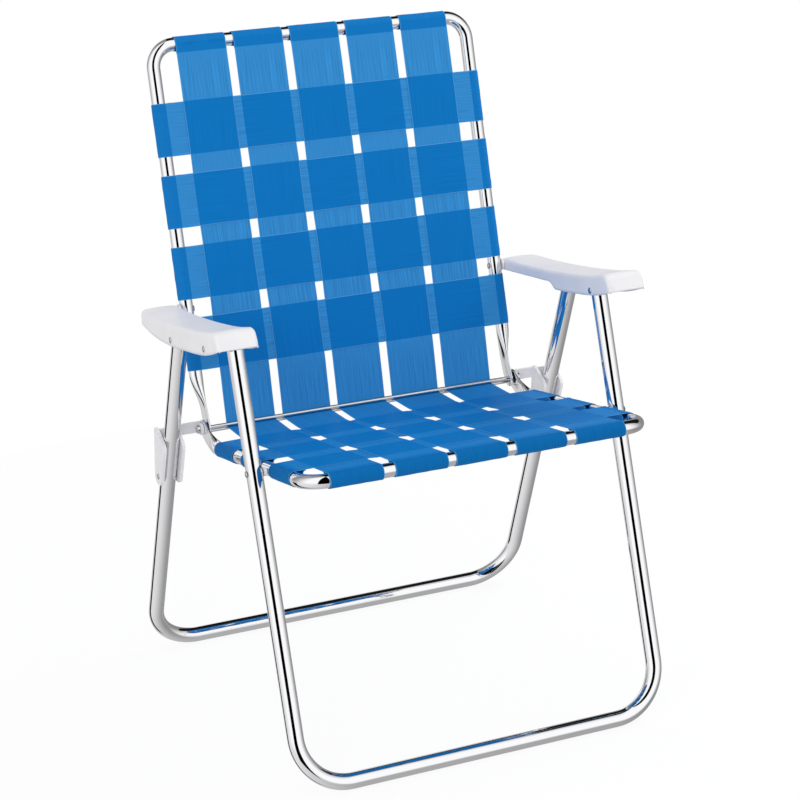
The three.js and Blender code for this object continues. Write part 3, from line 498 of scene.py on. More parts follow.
class Hoop:
    """A bent hoop's plane: its cross bar's middle, the way along its sides and the way it faces"""

    def __init__(self, bar, away, face, half, bend):
        self.bar, self.away, self.face = bar, away, face
        self.half, self.bend = half, bend

    def place(self, x, s, n):
        """The point that is x across the chair, s from the cross bar and n off the plane"""
        return self.bar + ACROSS * x + self.away * s + self.face * n

    def seen(self, point):
        """A point of the side view as (s, n)"""
        return (point - self.bar).dot(self.away), (point - self.bar).dot(self.face)

    def rings(self, stations):
        """Rings of its tube: one side, a bend, the cross bar, a bend and the other side.

        A station is (s, n, inset, thick, wide, square).
        """
        left, right = (self.corner(sign, stations[0][3]) for sign in (-1, 1))
        return self.side(-1, stations)[::-1] + left + right[::-1] + self.side(1, stations)

    def side(self, sign, stations):
        rings = []
        chain = [stations[0], *stations, stations[-1]]
        for before, (s, n, inset, *section), after in zip(chain, chain[1:], chain[2:]):
            run = Vector((after[0] - before[0], after[1] - before[1]))
            run = run.normalized() if run.length > TINY else Vector((1, 0))
            raised = self.face * run.x - self.away * run.y
            middle = self.place(sign * (self.half - inset), s, n)
            rings.append(tube_ring(middle, ACROSS * sign, raised, *section))
        return rings

    def corner(self, sign, radius):
        rings = []
        for i in range(BEND_STEPS + 1):
            turn = math.pi / 2 * i / BEND_STEPS
            outward = ACROSS * (sign * math.cos(turn)) - self.away * math.sin(turn)
            x = sign * (self.half - self.bend + self.bend * math.cos(turn))
            middle = self.place(x, self.bend - self.bend * math.sin(turn), 0)
            rings.append(tube_ring(middle, outward, self.face, radius, radius))
        return rings


def turned_across(profile, at, sign=1):
    """A turned shape about a line across the chair. The profile is (x, radius), on the right side;
    one that doesn't start on the axis is a ring and closes on itself."""
    verts, faces, loops = [], [], []
    for x, radius in profile:
        centre = at + ACROSS * (x * sign)
        start = len(verts)
        if radius < TINY:
            verts.append(centre)
            loops.append([start] * TURNED_SIDES)
            continue
        for k in range(TURNED_SIDES):
            turn = 2 * math.pi * k / TURNED_SIDES
            verts.append(centre + Vector((0, radius * math.cos(turn), radius * math.sin(turn))))
        loops.append([start + k for k in range(TURNED_SIDES)])
    pairs = list(zip(loops, loops[1:]))
    if profile[0][1] > TINY:
        pairs.append((loops[-1], loops[0]))
    for low, high in pairs:
        for k in range(TURNED_SIDES):
            n = (k + 1) % TURNED_SIDES
            face = [low[k], low[n], high[n], high[k]]
            faces.append([v for i, v in enumerate(face) if v not in face[:i]])
    return verts, [f for f in faces if len(f) > 2]


def domed(x0, x1, radius, head, dome, heads):
    """Profile of a rivet from x0 to x1, with a domed head on either end"""
    turns = [math.pi / 2 * k / DOME_STEPS for k in range(DOME_STEPS + 1)]
    cap = [(dome * math.cos(t), head * math.sin(t)) for t in turns]
    left = [(x0 - x, r) for x, r in cap] if heads[0] else [(x0, 0)]
    right = [(x1 + x, r) for x, r in reversed(cap)] if heads[1] else [(x1, 0)]
    return [*left, (x0, radius), (x1, radius), *right]


def washer(x0, x1, inner, outer, chamfer=0.0003):
    """Profile of a ring with its outer edges broken"""
    left = [(x0, inner), (x0, outer - chamfer), (x0 + chamfer, outer)]
    return left + [(x1 - chamfer, outer), (x1, outer - chamfer), (x1, inner)]


# Finishes


def add_node(tree, kind, sockets=None, **settings):
    """A node with its settings, and its inputs set or linked"""
    node = tree.nodes.new(kind)
    for key, value in settings.items():
        setattr(node, key, value)
    for key, value in (sockets or {}).items():
        if isinstance(value, bpy.types.NodeSocket):
            tree.links.new(value, node.inputs[key])
        else:
            node.inputs[key].default_value = value
    return node


def ramp(tree, value, into, out, kind="LINEAR"):
    """A value carried from one range to another"""
    ends = {"From Min": into[0], "From Max": into[1], "To Min": out[0], "To Max": out[1]}
    node = add_node(tree, "ShaderNodeMapRange", {"Value": value, **ends}, interpolation_type=kind)
    return node.outputs["Result"]


def maths(tree, operation, *values):
    sockets = dict(enumerate(values))
    return add_node(tree, "ShaderNodeMath", sockets, operation=operation).outputs[0]


def speckle(tree, size, detail):
    """Noise over a piece, its grain as large as the size"""
    place = add_node(tree, "ShaderNodeTexCoord").outputs["Object"]
    grain = {"Vector": place, "Scale": 1 / size, "Detail": detail}
    return add_node(tree, "ShaderNodeTexNoise", grain).outputs["Fac"]


def scaled(tree, tint, share):
    sockets = {0: tint, "Scale": share}
    return add_node(tree, "ShaderNodeVectorMath", sockets, operation="SCALE").outputs["Vector"]


def blended(tree, share, first, second):
    """One colour over another, by a share"""
    sockets = {0: share, 6: first, 7: second}
    return add_node(tree, "ShaderNodeMix", sockets, data_type="RGBA").outputs[2]


def either(tree, share, first, second):
    """One shader over another, by a share"""
    sockets = {0: share, 1: first.outputs[0], 2: second.outputs[0]}
    return add_node(tree, "ShaderNodeMixShader", sockets)


def bump(tree, height, strength, depth):
    sockets = {"Height": height, "Strength": strength, "Distance": depth}
    return add_node(tree, "ShaderNodeBump", sockets).outputs["Normal"]


def empty_tree(owner):
    owner.use_nodes = True
    owner.node_tree.nodes.clear()
    return owner.node_tree


def finish_of(name, slot, sockets):
    """A material and its slot. On first use, sockets(tree) gives what its shader takes"""
    material = bpy.data.materials.get(name)
    if material is None:
        material = bpy.data.materials.new(name)
        tree = empty_tree(material)
        shader = add_node(tree, "ShaderNodeBsdfPrincipled", sockets(tree))
        add_node(tree, "ShaderNodeOutputMaterial", {"Surface": shader.outputs["BSDF"]})
    return material, slot


def polished_aluminium(colours):
    """Drawn and polished aluminium tube: a bright mirror, only faintly softened by the lines that
    drawing leaves and by handling marks a few centimetres long."""

    def sockets(tree):
        marks = speckle(tree, 30 * MM, 3.0)
        lines = speckle(tree, 1.5 * MM, 2.0)
        return {
            "Base Color": (*colours.aluminium, 1),
            "Metallic": 1.0,
            "Roughness": ramp(tree, marks, (0.35, 0.7), (0.025, 0.06)),
            "Normal": bump(tree, lines, 0.01, 0.1 * MM),
        }

    return finish_of("drawn_aluminium_polished", "polished_aluminium", sockets)


def plated_steel(colours):
    """Bright zinc plate on steel wire: a little grey and cloudy, with clear reflections."""

    def sockets(tree):
        cloud = speckle(tree, 6 * MM, 4.0)
        return {
            "Base Color": (*colours.steel, 1),
            "Metallic": 1.0,
            "Roughness": ramp(tree, cloud, (0.3, 0.7), (0.1, 0.2)),
        }

    return finish_of("zinc_plated_steel", "plated_steel", sockets)


def blackened_steel(colours):
    """Blackened steel washer: a dark oxide skin, dull with worn paler spots."""

    def sockets(tree):
        worn = ramp(tree, speckle(tree, 2.5 * MM, 5.0), (0.35, 0.75), (0.75, 1.5))
        return {
            "Base Color": scaled(tree, tuple(colours.dark_steel), worn),
            "Metallic": 1.0,
            "Roughness": 0.45,
        }

    return finish_of("blackened_steel", "dark_steel", sockets)


def moulded_polypropylene(colours):
    """White polypropylene from a lightly etched mould: satin, with a fine leathery stipple that
    is drawn about twice as coarse as it is, so that it shows, and faint flow clouds."""

    def sockets(tree):
        stipple = speckle(tree, 1.2 * MM, 2.0)
        cloud = ramp(tree, speckle(tree, 45 * MM, 2.0), (0.3, 0.7), (0.97, 1.02))
        return {
            "Base Color": scaled(tree, tuple(colours.plastic), cloud),
            "Roughness": ramp(tree, stipple, (0.3, 0.7), (0.38, 0.5)),
            "IOR": PLASTIC_IOR,
            "Normal": bump(tree, stipple, 0.12, 0.2 * MM),
        }

    return finish_of("moulded_polypropylene", "white_plastic", sockets)


def woven_polypropylene(settings):
    """Blue webbing woven of flat polypropylene thread: matt with a slight sheen, streaked along its
    length, and paler where a single layer lets light through, which is painted light in its colour,
    with painted shade where it is doubled or bound round a tube. The thread is drawn about half as
    wide again as it is, so that it shows. The web's own measures, across and along in millimetres
    and how far it is doubled, which sets that painted shade, come with the mesh."""
    colours, webs = settings.colours, settings.webs
    turn = 2 * math.pi / (webs.thread / MM)
    half = webs.width / MM / 2

    def sockets(tree):
        tape = add_node(tree, "ShaderNodeAttribute", attribute_name="tape").outputs["Vector"]
        parts = add_node(tree, "ShaderNodeSeparateXYZ", {"Vector": tape})
        across, along, layers = (parts.outputs[axis] for axis in "XYZ")
        waves = [maths(tree, "SINE", maths(tree, "MULTIPLY", way, turn)) for way in (across, along)]
        weave = maths(tree, "MULTIPLY", *waves)
        # Streaks 1.4 mm wide and 75 mm long
        shrunk = {0: tape, 1: (1 / 1.4, 1 / 75, 0)}
        drawn_out = add_node(tree, "ShaderNodeVectorMath", shrunk, operation="MULTIPLY")
        grain = {"Vector": drawn_out.outputs["Vector"], "Scale": 1.0, "Detail": 3.0}
        streak = add_node(tree, "ShaderNodeTexNoise", grain).outputs["Fac"]
        # One layer shows its threads and streaks against the light, two layers hardly do
        contrast = ramp(tree, layers, (0.0, 1.0), (1.0, 0.35))
        uneven = maths(tree, "MULTIPLY_ADD", weave, 0.12, maths(tree, "ADD", streak, -0.5))
        uneven = maths(tree, "MULTIPLY", uneven, contrast)
        # Painted shade on the seat's bound ends, for the dimmer light on the seat's front; no light
        # comes through where the web is bound tight over a tube
        bound = ramp(tree, layers, (1.0, SEAT_SHADES[1]), (1.0, 0.8))
        light = maths(tree, "MULTIPLY_ADD", uneven, 0.95, bound)
        shade = blended(tree, layers, (*colours.web_single, 1), (*colours.web_double, 1))
        # Painted highlight: the selvedge's edge thread stands proud, and the light it catches is
        # painted in as a paler colour along the web's edges
        aside = maths(tree, "ABSOLUTE", across)
        edge = ramp(tree, aside, (half - 1.1, half - 0.5), (0.0, 0.55))
        cloth = scaled(tree, shade, light)
        return {
            "Base Color": blended(tree, edge, cloth, (*colours.web_edge, 1)),
            "Roughness": ramp(tree, weave, (-1.0, 1.0), (0.62, 0.52)),
            "IOR": PLASTIC_IOR,
            "Specular IOR Level": 0.05,
            "Sheen Weight": 0.3,
            "Sheen Roughness": 0.4,
            "Sheen Tint": (*colours.web_double, 1),
            "Normal": bump(tree, weave, 0.25, 0.12 * MM),
        }

    return finish_of("woven_polypropylene", "blue_webbing", sockets)


# Pieces


def leg_tube(name, node, arm, up, half, settings):
    """A leg hoop: open tube with broken edges, standing on its cross bar"""
    tubes = settings.tubes
    radius = tubes.leg_diameter / 2
    bore = radius - tubes.leg_wall
    run = (arm.z - radius) / up.z
    top = run + tubes.leg_beyond
    edge = tubes.leg_wall / 4
    hoop = Hoop(arm - up * run, up, turned(up), half, tubes.leg_bend)

    def rings(section, broken):
        ends = [(hoop.bend + BEND_RUN, section), (top - edge, section), (top, broken)]
        return hoop.rings([(s, 0, 0, r, r, 1.0) for s, r in ends])

    shape = skin(rings(radius, radius - edge) + rings(bore, bore + edge)[::-1], closed=True)
    add_solid(name, node, shape, polished_aluminium(settings.colours))


def frame_tube(name, node, hoop, hinge, blend, strip, inset, settings):
    """The back or seat hoop, its sides flattened and led to the hinge"""
    radius, thin = settings.tubes.frame_diameter / 2, settings.tubes.strip_thickness / 2
    # Shares: where the flattened run turns to the hinge, and where it is quite flat
    turn_at, flat_at = 0.4, 0.6
    s, n = hoop.seen(hinge)
    lead, end = Vector((s - blend * turn_at, 0)), Vector((s, n))
    stations = [(hoop.bend + BEND_RUN, 0, 0, radius, radius, 1.0)]
    steps = 26
    for k, p in enumerate(bow(Vector((s - blend, 0)), lead, end, steps)):
        f = smooth_step(k / steps, 0, flat_at)
        section = (mix(radius, thin, f), mix(radius, strip, f), mix(1.0, FLAT_SQUARE, f))
        stations.append((p.x, p.y, inset * f, *section))
    out = (end - lead).normalized()
    # Its rounded end, stopped just short of a point
    steps, stop = 12, 0.995
    for k in range(1, steps + 1):
        share = math.sin(math.pi / 2 * k / steps) * stop
        p = end + out * (strip * share)
        stations.append((p.x, p.y, inset, thin, strip * math.sqrt(1 - share**2), FLAT_SQUARE))
    shape = skin(hoop.rings(stations))
    add_solid(name, node, shape, polished_aluminium(settings.colours), sharp=50)


class Weave:
    """How a hoop is woven: the places of its cross webs, which webs go over, and its shades"""

    def __init__(self, name, hoop, first, pitch, count, phase, shades):
        self.name, self.hoop, self.phase, self.shades = name, hoop, phase, shades
        self.places = [first + j * pitch for j in range(count)]

    def long_over(self, i, j):
        """Whether long web i goes over cross web j"""
        return (i + j + self.phase) % 2 == 0


def weaves(settings, view):
    """The weaves of the back and the seat, each from its cross bar on. The seat's phase makes every
    second long web go over its rearmost cross web, however many there are"""
    w = settings.webs
    back = (view.back, w.back_first, w.back_pitch, w.back_count, 0, BACK_SHADES)
    seat = (view.seat, w.seat_first, w.seat_pitch, w.seat_count, w.seat_count, SEAT_SHADES)
    return Weave("back", *back), Weave("seat", *seat)


class WebPath:
    """The edge-on line of a web: (along, height) points, each with how far the web is doubled on
    the way to the next point, which sets the painted light and shade of its colour"""

    def __init__(self, settings, shades):
        self.webs = settings.webs
        self.radius = settings.tubes.frame_diameter / 2 + FIT + self.webs.thickness / 2
        self.single, self.bound = shades
        self.points = []
        self.doubled = []
        self.wrapped()

    def to(self, point, doubled):
        self.points.append(Vector(point))
        self.doubled.append(doubled)

    def wrapped(self):
        """Round a tube at the origin, from the turned-in end under the web to the tube's top"""
        webs = self.webs
        low = self.radius - webs.thickness - webs.clearance
        lift = webs.hem_start + HEM_LIFT
        corner = Vector((webs.hem_start, low))
        rim = Vector((-math.sin(webs.wrap), math.cos(webs.wrap))) * self.radius
        end = mix(corner, rim, HEM_BOW)
        flat, bowed, straight = HEM_STEPS
        hem = [(a, low) for a in between(webs.hem_end, lift, flat)]
        hem += bow(Vector((lift, low)), corner, end, bowed)[:-1] + between(end, rim, straight)
        for point in hem:
            self.to(point, TWO_LAYERS)
        for k in range(WRAP_STEPS, -1, -1):
            turn = webs.wrap * k / WRAP_STEPS
            self.to((-self.radius * math.sin(turn), self.radius * math.cos(turn)), self.bound)

    def woven(self, crossings, overs, hem, far_hem):
        """On over and under the webs that cross it, and to the height it ends at"""
        edge = self.webs.width / 2
        flat = edge + CROSSING_RUN
        offset = (self.webs.thickness + self.webs.clearance) / 2
        here, height = 0.0, self.radius
        for middle, over in zip(crossings, overs):
            level = self.radius + (offset if over else -offset)
            self.slope(here, middle - flat, height, level, hem, far_hem)
            self.to((middle - flat, level), self.single)
            for a in between(middle - edge, middle + edge, CROSSING_STEPS):
                self.to((a, level), TWO_LAYERS)
            self.to((middle + edge, level), self.single)
            here, height = middle + flat, level
        return here, height

    def slope(self, a0, a1, b0, b1, hem, far_hem):
        """An easy slope from one height to the next, cut where a turned-in end starts or stops"""
        steps = max(6, int((a1 - a0) / SLOPE_STEP))
        stops = between(a0, a1, steps) + [x for x in (hem, far_hem) if a0 < x < a1]
        for a in sorted(stops):
            hemmed = a < hem - 1e-7 or a > far_hem - 1e-7
            height = mix(b0, b1, smooth_step(a, a0, a1))
            self.to((a, height), HEM_SHADE if hemmed else self.single)


def web_piece(name, points, doubled, place, settings, nodes, outward):
    """A woven web along points, each placed with its height and its distance across. Outward is 1
    where the points run with the web's face on their left, and else -1."""
    webs = settings.webs
    half = webs.width / 2
    rib, lip = webs.selvedge, 0.0006
    # Where the web's columns are, and their share of its thickness
    columns = [(-half, 0.3), (-half + lip, 0.85), (-half + rib / 2, 1.1), (-half + rib, 1.0)]
    columns += [(across, 1.0) for across in between(-half + rib, half - rib, 10)[1:]]
    columns += [(-across, share) for across, share in reversed(columns[:4])]
    count = len(columns)
    verts, measures = [], []
    run = 0.0
    # Its name gives each web a noise of its own
    seed = sum(ord(letter) for letter in name) * 0.37
    for i, (point, ahead) in enumerate(zip(points, points[1:] + points[-1:])):
        way = (ahead - points[max(i - 1, 0)]).normalized()
        normal = Vector((-way.y, way.x))
        loose = webs.pucker if doubled[i] in (BACK_SHADES[1], SEAT_SHADES[1]) else 0.0
        aside = webs.wander * noise.noise((run / WANDER_RUN, seed, 0.0))
        for sign in (1, -1):
            for across, share in columns:
                spot = (across / PUCKER_SIZE[0], run / PUCKER_SIZE[1], seed)
                lift = loose * max(noise.noise(spot), 0.0)
                p = point + normal * (sign * share * webs.thickness / 2 + outward * lift)
                verts.append(place(p.x, p.y, across + aside))
                measures.append((across / MM, run / MM))
        run += (ahead - point).length
    faces, layers = [], []
    ring = 2 * count
    order = list(range(count)) + list(range(ring - 1, count - 1, -1))
    last = (len(points) - 1) * ring
    for low, layer in zip(range(0, last, ring), doubled):
        for a, b in zip(order, order[1:] + order[:1]):
            faces.append((low + a, low + b, low + ring + b, low + ring + a))
            layers.append(layer)
    for start in (0, last):
        for k in range(start, start + count - 1):
            faces.append((k, k + 1, count + k + 1, count + k))
            layers.append(TWO_LAYERS)
    piece = add_piece(name, (verts, faces), woven_polypropylene(settings), nodes, sharp=60)
    face_outwards(piece)
    mesh = piece.data
    tape = mesh.attributes.new("tape", "FLOAT_VECTOR", "CORNER")
    for polygon, layer in zip(mesh.polygons, layers):
        for corner in polygon.loop_indices:
            across, along = measures[mesh.loops[corner].vertex_index]
            tape.data[corner].vector = (across, along, layer)
    return piece


def long_web_at(i, y, webs, view):
    """Where the middle of a long web is, from the chair's middle: straight down the back, and as
    far aside as it has slid on the way to the seat's front"""
    share = (view.hinge.y - y) / (view.hinge.y - view.seat.bar.y)
    slid = webs.drift[i] * min(max(share, 0.0), 1.0)
    return (i - (webs.long_count - 1) / 2) * (webs.width + webs.gap) + slid


def long_web(i, settings, view):
    """One long web, from the top bar round the hinge rod to the seat's front bar"""
    webs = settings.webs
    rod = settings.fastenings.rod / 2 + FIT + webs.thickness / 2

    def half_line(weave):
        """From a cross bar to the hinge rod, as points of the side view"""
        path = WebPath(settings, weave.shades)
        overs = [weave.long_over(i, j) for j in range(len(weave.places))]
        here, height = path.woven(weave.places, overs, webs.long_shade, math.inf)
        s, n = weave.hoop.seen(view.hinge)
        # It leaves its height in a bend and then runs straight to the rod
        steps, bend = 20, 0.2
        for k in range(steps):
            t = k / steps
            ease = (t - bend / 2 if t > bend else t**2 / (2 * bend)) / (1 - bend / 2)
            path.to((mix(here, s, t), mix(height, n - rod, ease)), path.single)
        return [weave.hoop.place(0, p.x, p.y) for p in path.points], path.doubled

    back, seat = weaves(settings, view)
    line, doubled = half_line(back)
    seat_line, seat_doubled = half_line(seat)
    # The turn round the hinge rod joins the two halves
    behind, below = -view.back.face, -view.seat.face
    corner = math.acos(behind.dot(below))
    steps = 10
    for k in range(steps + 1):
        t = k / steps
        first, second = (math.sin(share * corner) / math.sin(corner) for share in (1 - t, t))
        line.append(view.hinge + (behind * first + below * second) * rod)
        doubled.append(SEAT_SHADES[0])
    line += seat_line[::-1]
    doubled += seat_doubled[-2::-1] + [TWO_LAYERS]
    points = [Vector((p.y, p.z)) for p in line]
    piece = web_piece(
        f"long_web_{i + 1}",
        points,
        doubled,
        lambda y, z, across: Vector((long_web_at(i, y, webs, view) + across, y, z)),
        settings,
        [f"back_web_{i + 1}", f"seat_web_{i + 1}"],
        -1,
    )
    flat = (webs.width, run_of(points))
    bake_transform(piece)


def cross_web(j, weave, settings, view):
    """A web across the back or the seat, wrapped round the tube at either side"""
    webs, hoop, s = settings.webs, weave.hoop, weave.places[j]
    node = f"{weave.name}_cross_web_{j + 1}"
    width = 2 * hoop.half
    far = width - webs.cross_shade
    y = hoop.place(0, s, 0).y
    crossings = [hoop.half + long_web_at(i, y, webs, view) for i in range(webs.long_count)]
    overs = [not weave.long_over(i, j) for i in range(webs.long_count)]
    path, other = WebPath(settings, weave.shades), WebPath(settings, weave.shades)
    here, height = path.woven(crossings, overs, webs.cross_shade, far)
    path.slope(here, width, height, path.radius, webs.cross_shade, far)
    points = path.points + [Vector((width - p.x, p.y)) for p in other.points[::-1]]
    piece = web_piece(
        f"{weave.name}_web_across_{j + 1}",
        points,
        path.doubled + other.doubled[-2::-1] + [TWO_LAYERS],
        lambda x, n, across: hoop.place(x - hoop.half, s + across, n),
        settings,
        [node],
        1,
    )
    flat = (webs.width, run_of(points))
    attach(piece, BODY_OF[node])


def armrest_shell(name, sign, settings, view):
    """A hollow armrest: a roof along its side outline, rolled over into two skirts"""
    m = settings.mouldings
    inner, outer = arm_sides(settings)
    reach = (view.back_pivot - view.front_arm).length
    rear = (view.rear_arm - view.front_arm).dot(view.arm_back)
    rear_drop = (view.rear_arm - view.front_arm).dot(view.arm_up)
    front = -m.front_beyond
    tip = front - m.front_rake
    end = reach + m.rear_radius

    # Lower edges of the skirts, from front to rear. The inner one dips before the rear leg
    dip, dip_rise, inner_lift, rear_lift = 0.0047, 0.008, 0.002, 0.0015
    rear_low = rear_drop - m.skirt_rear
    front_low = -m.skirt_front
    dip_low = front_low - dip
    dip_end = dip_low + dip_rise
    lip = [(tip + m.wall, m.front_lift), (front * 0.8, 0)]
    heel = (reach, -m.rear_radius)
    outer_edge = smooth_through(
        [
            *lip,
            (0, front_low),
            (rear * 0.57, (front_low + rear_low * 2) / 3),
            (rear, rear_low),
            (rear * 1.5, rear_low + rear_lift),
            heel,
        ]
    )
    inner_edge = smooth_through(
        [
            *lip,
            (0, front_low + inner_lift),
            (rear * 0.64, dip_low),
            (rear * 0.77, dip_low),
            (rear * 0.87, dip_end),
            (rear, dip_end),
            heel,
        ]
    )

    # Side outline of the roof: up the front face, along the top, round the rear end and down
    foot = Vector((tip, m.front_lift))
    brow = Vector((front - m.front_rake * 0.3, m.front_height * 0.7))
    peak = Vector((front, m.front_height))
    shoulder = Vector((front + m.front_height * 0.35, m.front_height))
    outline = between(foot, brow, 8) + bow(brow, peak, shoulder, 12)[:-1]
    # Shares of the top's length and of its fall
    slope = [(0.2, 0.4), (0.5, 0.8), (0.76, 0.98), (1.0, 1.0)]
    falling = [(reach * at, mix(m.top_at_pivot, m.rear_radius, share)) for at, share in slope]
    outline += smooth_through([shoulder, (0, m.top_at_pivot), *falling])
    steps = 12
    turns = [math.pi / 2 * (1 - k / steps) for k in range(1, steps + 1)]
    outline += arc(reach, 0, m.rear_radius, turns)
    steps = 5
    outline += [Vector((end, -m.rear_radius * k / steps)) for k in range(1, steps + 1)]

    def plan(a):
        """Inner and outer side at a, drawn in at the rounded corners"""
        low, high = inner, outer
        if a < tip + m.front_corner:
            into = min((tip + m.front_corner - a) / m.front_corner, 1)
            draw = m.front_corner * (1 - math.sqrt(1 - into**2))
            low, high = low + draw, high - draw
        if a > end - m.rear_corner:
            into = min((a - end + m.rear_corner) / m.rear_corner, 1)
            high -= m.rear_corner * (1 - math.sqrt(1 - into**2))
        return low, high

    def place(x, p):
        return view.front_arm + ACROSS * (x * sign) + view.arm_back * p.x + view.arm_up * p.y

    rows = []
    roll_steps, wall_steps, roof_steps = 8, 6, 10
    for i, p in enumerate(outline):
        way = (outline[min(i + 1, len(outline) - 1)] - outline[max(i - 1, 0)]).normalized()
        normal = Vector((-way.y, way.x))
        under = p - normal * m.edge
        sides = []
        for pick, edge, inward in ((0, inner_edge, 1), (1, outer_edge, -1)):
            low = Vector((under.x, height_at(edge, under.x)))
            start = Vector((under.x, max(under.y, low.y + LEAST_SKIRT)))
            line = [(plan(under.x)[pick], q) for q in between(low, start, wall_steps)]
            for k in range(roll_steps + 1):
                turn = math.pi / 2 * (1 - k / roll_steps)
                q = p - normal * (m.edge * (1 - math.cos(turn)))
                q.y = max(q.y, height_at(edge, q.x))
                line.append((plan(q.x)[pick] + inward * m.edge * (1 - math.sin(turn)), q))
            sides.append(line)
        roof = []
        x0, x1 = sides[0][-1][0], sides[1][-1][0]
        for k in range(1, roof_steps):
            share = k / roof_steps
            crown = m.crown * (1 - (2 * share - 1) ** 2)
            roof.append((mix(x0, x1, share), p + normal * crown))
        rows.append([place(x, q) for x, q in sides[0] + roof + sides[1][::-1]])
    faces = grid(len(rows), len(rows[0]), ring=False)
    faces = faces if sign > 0 else [face[::-1] for face in faces]
    shape = ([p for row in rows for p in row], faces)
    node = f"armrest_{name}"
    finish = moulded_polypropylene(settings.colours)
    piece = add_piece(f"armrest_shell_{name}", shape, finish, [node], sharp=50)
    wall = piece.modifiers.new("wall", "SOLIDIFY")
    wall.thickness = m.wall
    wall.offset = -1
    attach(piece, BODY_OF[node])


def prism(outline, x0, x1, place):
    """An outline pushed out across the chair"""
    verts = [place(p, x) for x in (x0, x1) for p in outline]
    count = len(outline)
    faces = [tuple(reversed(range(count))), tuple(range(count, 2 * count))]
    return verts, faces + grid(2, count)


def rim(outline, width, x0, x1, place):
    """A raised rim just inside an outline"""
    count = len(outline)
    middle = sum(outline, Vector((0, 0))) / count
    drawn_in = []
    for k, p in enumerate(outline):
        run = outline[(k + 1) % count] - outline[k - 1]
        inward = Vector((run.y, -run.x)).normalized()
        drawn_in.append(p + inward * math.copysign(width, inward.dot(middle - p)))
    loops = [(outline, x0), (outline, x1), (drawn_in, x1), (drawn_in, x0)]
    return skin([[place(p, x) for p in loop] for loop, x in loops], closed=True)


def joined(shapes):
    """One shape from several that cut into each other"""
    parts = [new_object("link_part", *shape) for shape in shapes]
    for part in parts:
        face_outwards(part)
    whole = parts[0]
    for part in parts[1:]:
        join = whole.modifiers.new("join", "BOOLEAN")
        join.operation = "UNION"
        join.solver = "EXACT"
        join.object = part
    bpy.context.view_layer.update()
    graph = bpy.context.evaluated_depsgraph_get()
    made = bpy.data.meshes.new_from_object(whole.evaluated_get(graph))
    verts = [v.co.copy() for v in made.vertices]
    faces = [tuple(p.vertices) for p in made.polygons]
    meshes = [part.data for part in parts] + [made]
    for part in parts:
        bpy.data.objects.remove(part)
    for mesh in meshes:
        bpy.data.meshes.remove(mesh)
    return verts, faces


def fold_link(name, sign, settings, view):
    """A fold link: two rimmed cheeks beside the rear leg, a plate behind it, and an eye on the
    hinge rod"""
    m, tubes = settings.mouldings, settings.tubes
    run = (view.hinge - view.link_pivot).length
    along = (view.hinge - view.link_pivot).normalized()
    behind = -turned(along)
    leg_up = Vector((view.rear_up.dot(behind), view.rear_up.dot(along)))
    leg_ahead = Vector((-leg_up.y, leg_up.x))
    eye_in = tubes.seat_half + tubes.strip_thickness / 2 + FIT
    inner_out, outer_in = link_sides(tubes)
    inner_in, outer_out = inner_out - CHEEK, outer_in + CHEEK
    # A cheek's outline in the side view, from (0, 0) on its rivet to the hinge at (0, run)
    foot, corner, steps = 0.011, 0.004, 8
    top, front_height, front_out, summit_at = run + 0.010, run + 0.002, 0.016, 0.002
    front_foot = leg_ahead * front_out
    front_top = front_foot + leg_up * front_height
    summit = Vector((summit_at, top))
    low_corner = Vector((front_foot.x + 0.003, -foot))
    quarter = [math.pi / 2 * k / steps for k in range(steps + 1)]
    cheek = bow(mix(front_top, summit, 0.35), front_top, mix(front_top, front_foot, 0.14), steps)
    cheek += bow(front_foot, low_corner, Vector((0, -foot)), steps)
    cheek += arc(0, 0, foot, [turn - math.pi / 2 for turn in quarter[1:]])
    cheek += arc(foot - corner, top - corner, corner, quarter)
    cheek += bow(summit + Vector((corner, 0)), summit, mix(summit, front_top, 0.3), steps // 2)
    eye_radius, eye_wall, eye_sides = 0.0085, 0.004, 40
    eye = arc(0, run, eye_radius, [2 * math.pi * k / eye_sides for k in range(eye_sides)])
    plate_at, plate_wall, plate_half = 0.003, 0.0035, 0.008

    def plate(front):
        back, low, high = front + plate_wall, run - plate_half, run + plate_half
        return [Vector(p) for p in ((front, low), (back, low), (back, high), (front, high))]

    def place(p, x):
        return view.link_pivot + ACROSS * (x * sign) + behind * p.x + along * p.y

    # The plate ends inside the cheeks, and the rims start inside them
    sunk, bedded = 0.001, 0.0005
    shape = joined(
        [
            prism(plate(plate_at), inner_in + sunk, outer_out - sunk, place),
            prism(plate(plate_at + plate_wall), eye_in, inner_out, place),
            prism(eye, eye_in, eye_in + eye_wall, place),
            prism(cheek, inner_in, inner_out, place),
            prism(cheek, outer_in, outer_out, place),
            rim(cheek, m.link_rim, inner_in - m.link_bead, inner_out - bedded, place),
            rim(cheek, m.link_rim, outer_in + bedded, outer_out + m.link_bead, place),
        ]
    )
    node = f"fold_link_{name}"
    finish = moulded_polypropylene(settings.colours)
    piece = add_piece(f"fold_link_moulding_{name}", shape, finish, [node], LINK_SHARP)
    edge = piece.modifiers.new("edge", "BEVEL")
    edge.width = m.link_edge
    edge.segments = 2
    edge.limit_method = "ANGLE"
    edge.angle_limit = math.radians(LINK_SHARP)
    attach(piece, BODY_OF[node])


# Operators


class LawnChairPiece:
    """What the operators share"""

    bl_options = {"REGISTER", "UNDO"}

    def execute(self, context):
        settings = context.scene.lawn_chair
        self.make(settings, SideView(settings))
        return {"FINISHED"}


class LAWNCHAIR_OT_leg_hoops(LawnChairPiece, bpy.types.Operator):
    """Make the front and rear leg hoops of bent tube"""

    bl_idname = "lawnchair.leg_hoops"
    bl_label = "Leg Hoops"

    def make(self, settings, view):
        front, rear = settings.tubes.front_half, settings.tubes.rear_half
        for end, arm, up, half in (
            ("front", view.front_arm, view.front_up, front),
            ("rear", view.rear_arm, view.rear_up, rear),
        ):
            leg_tube(f"{end}_leg_tube", f"{end}_leg_hoop", arm, up, half, settings)


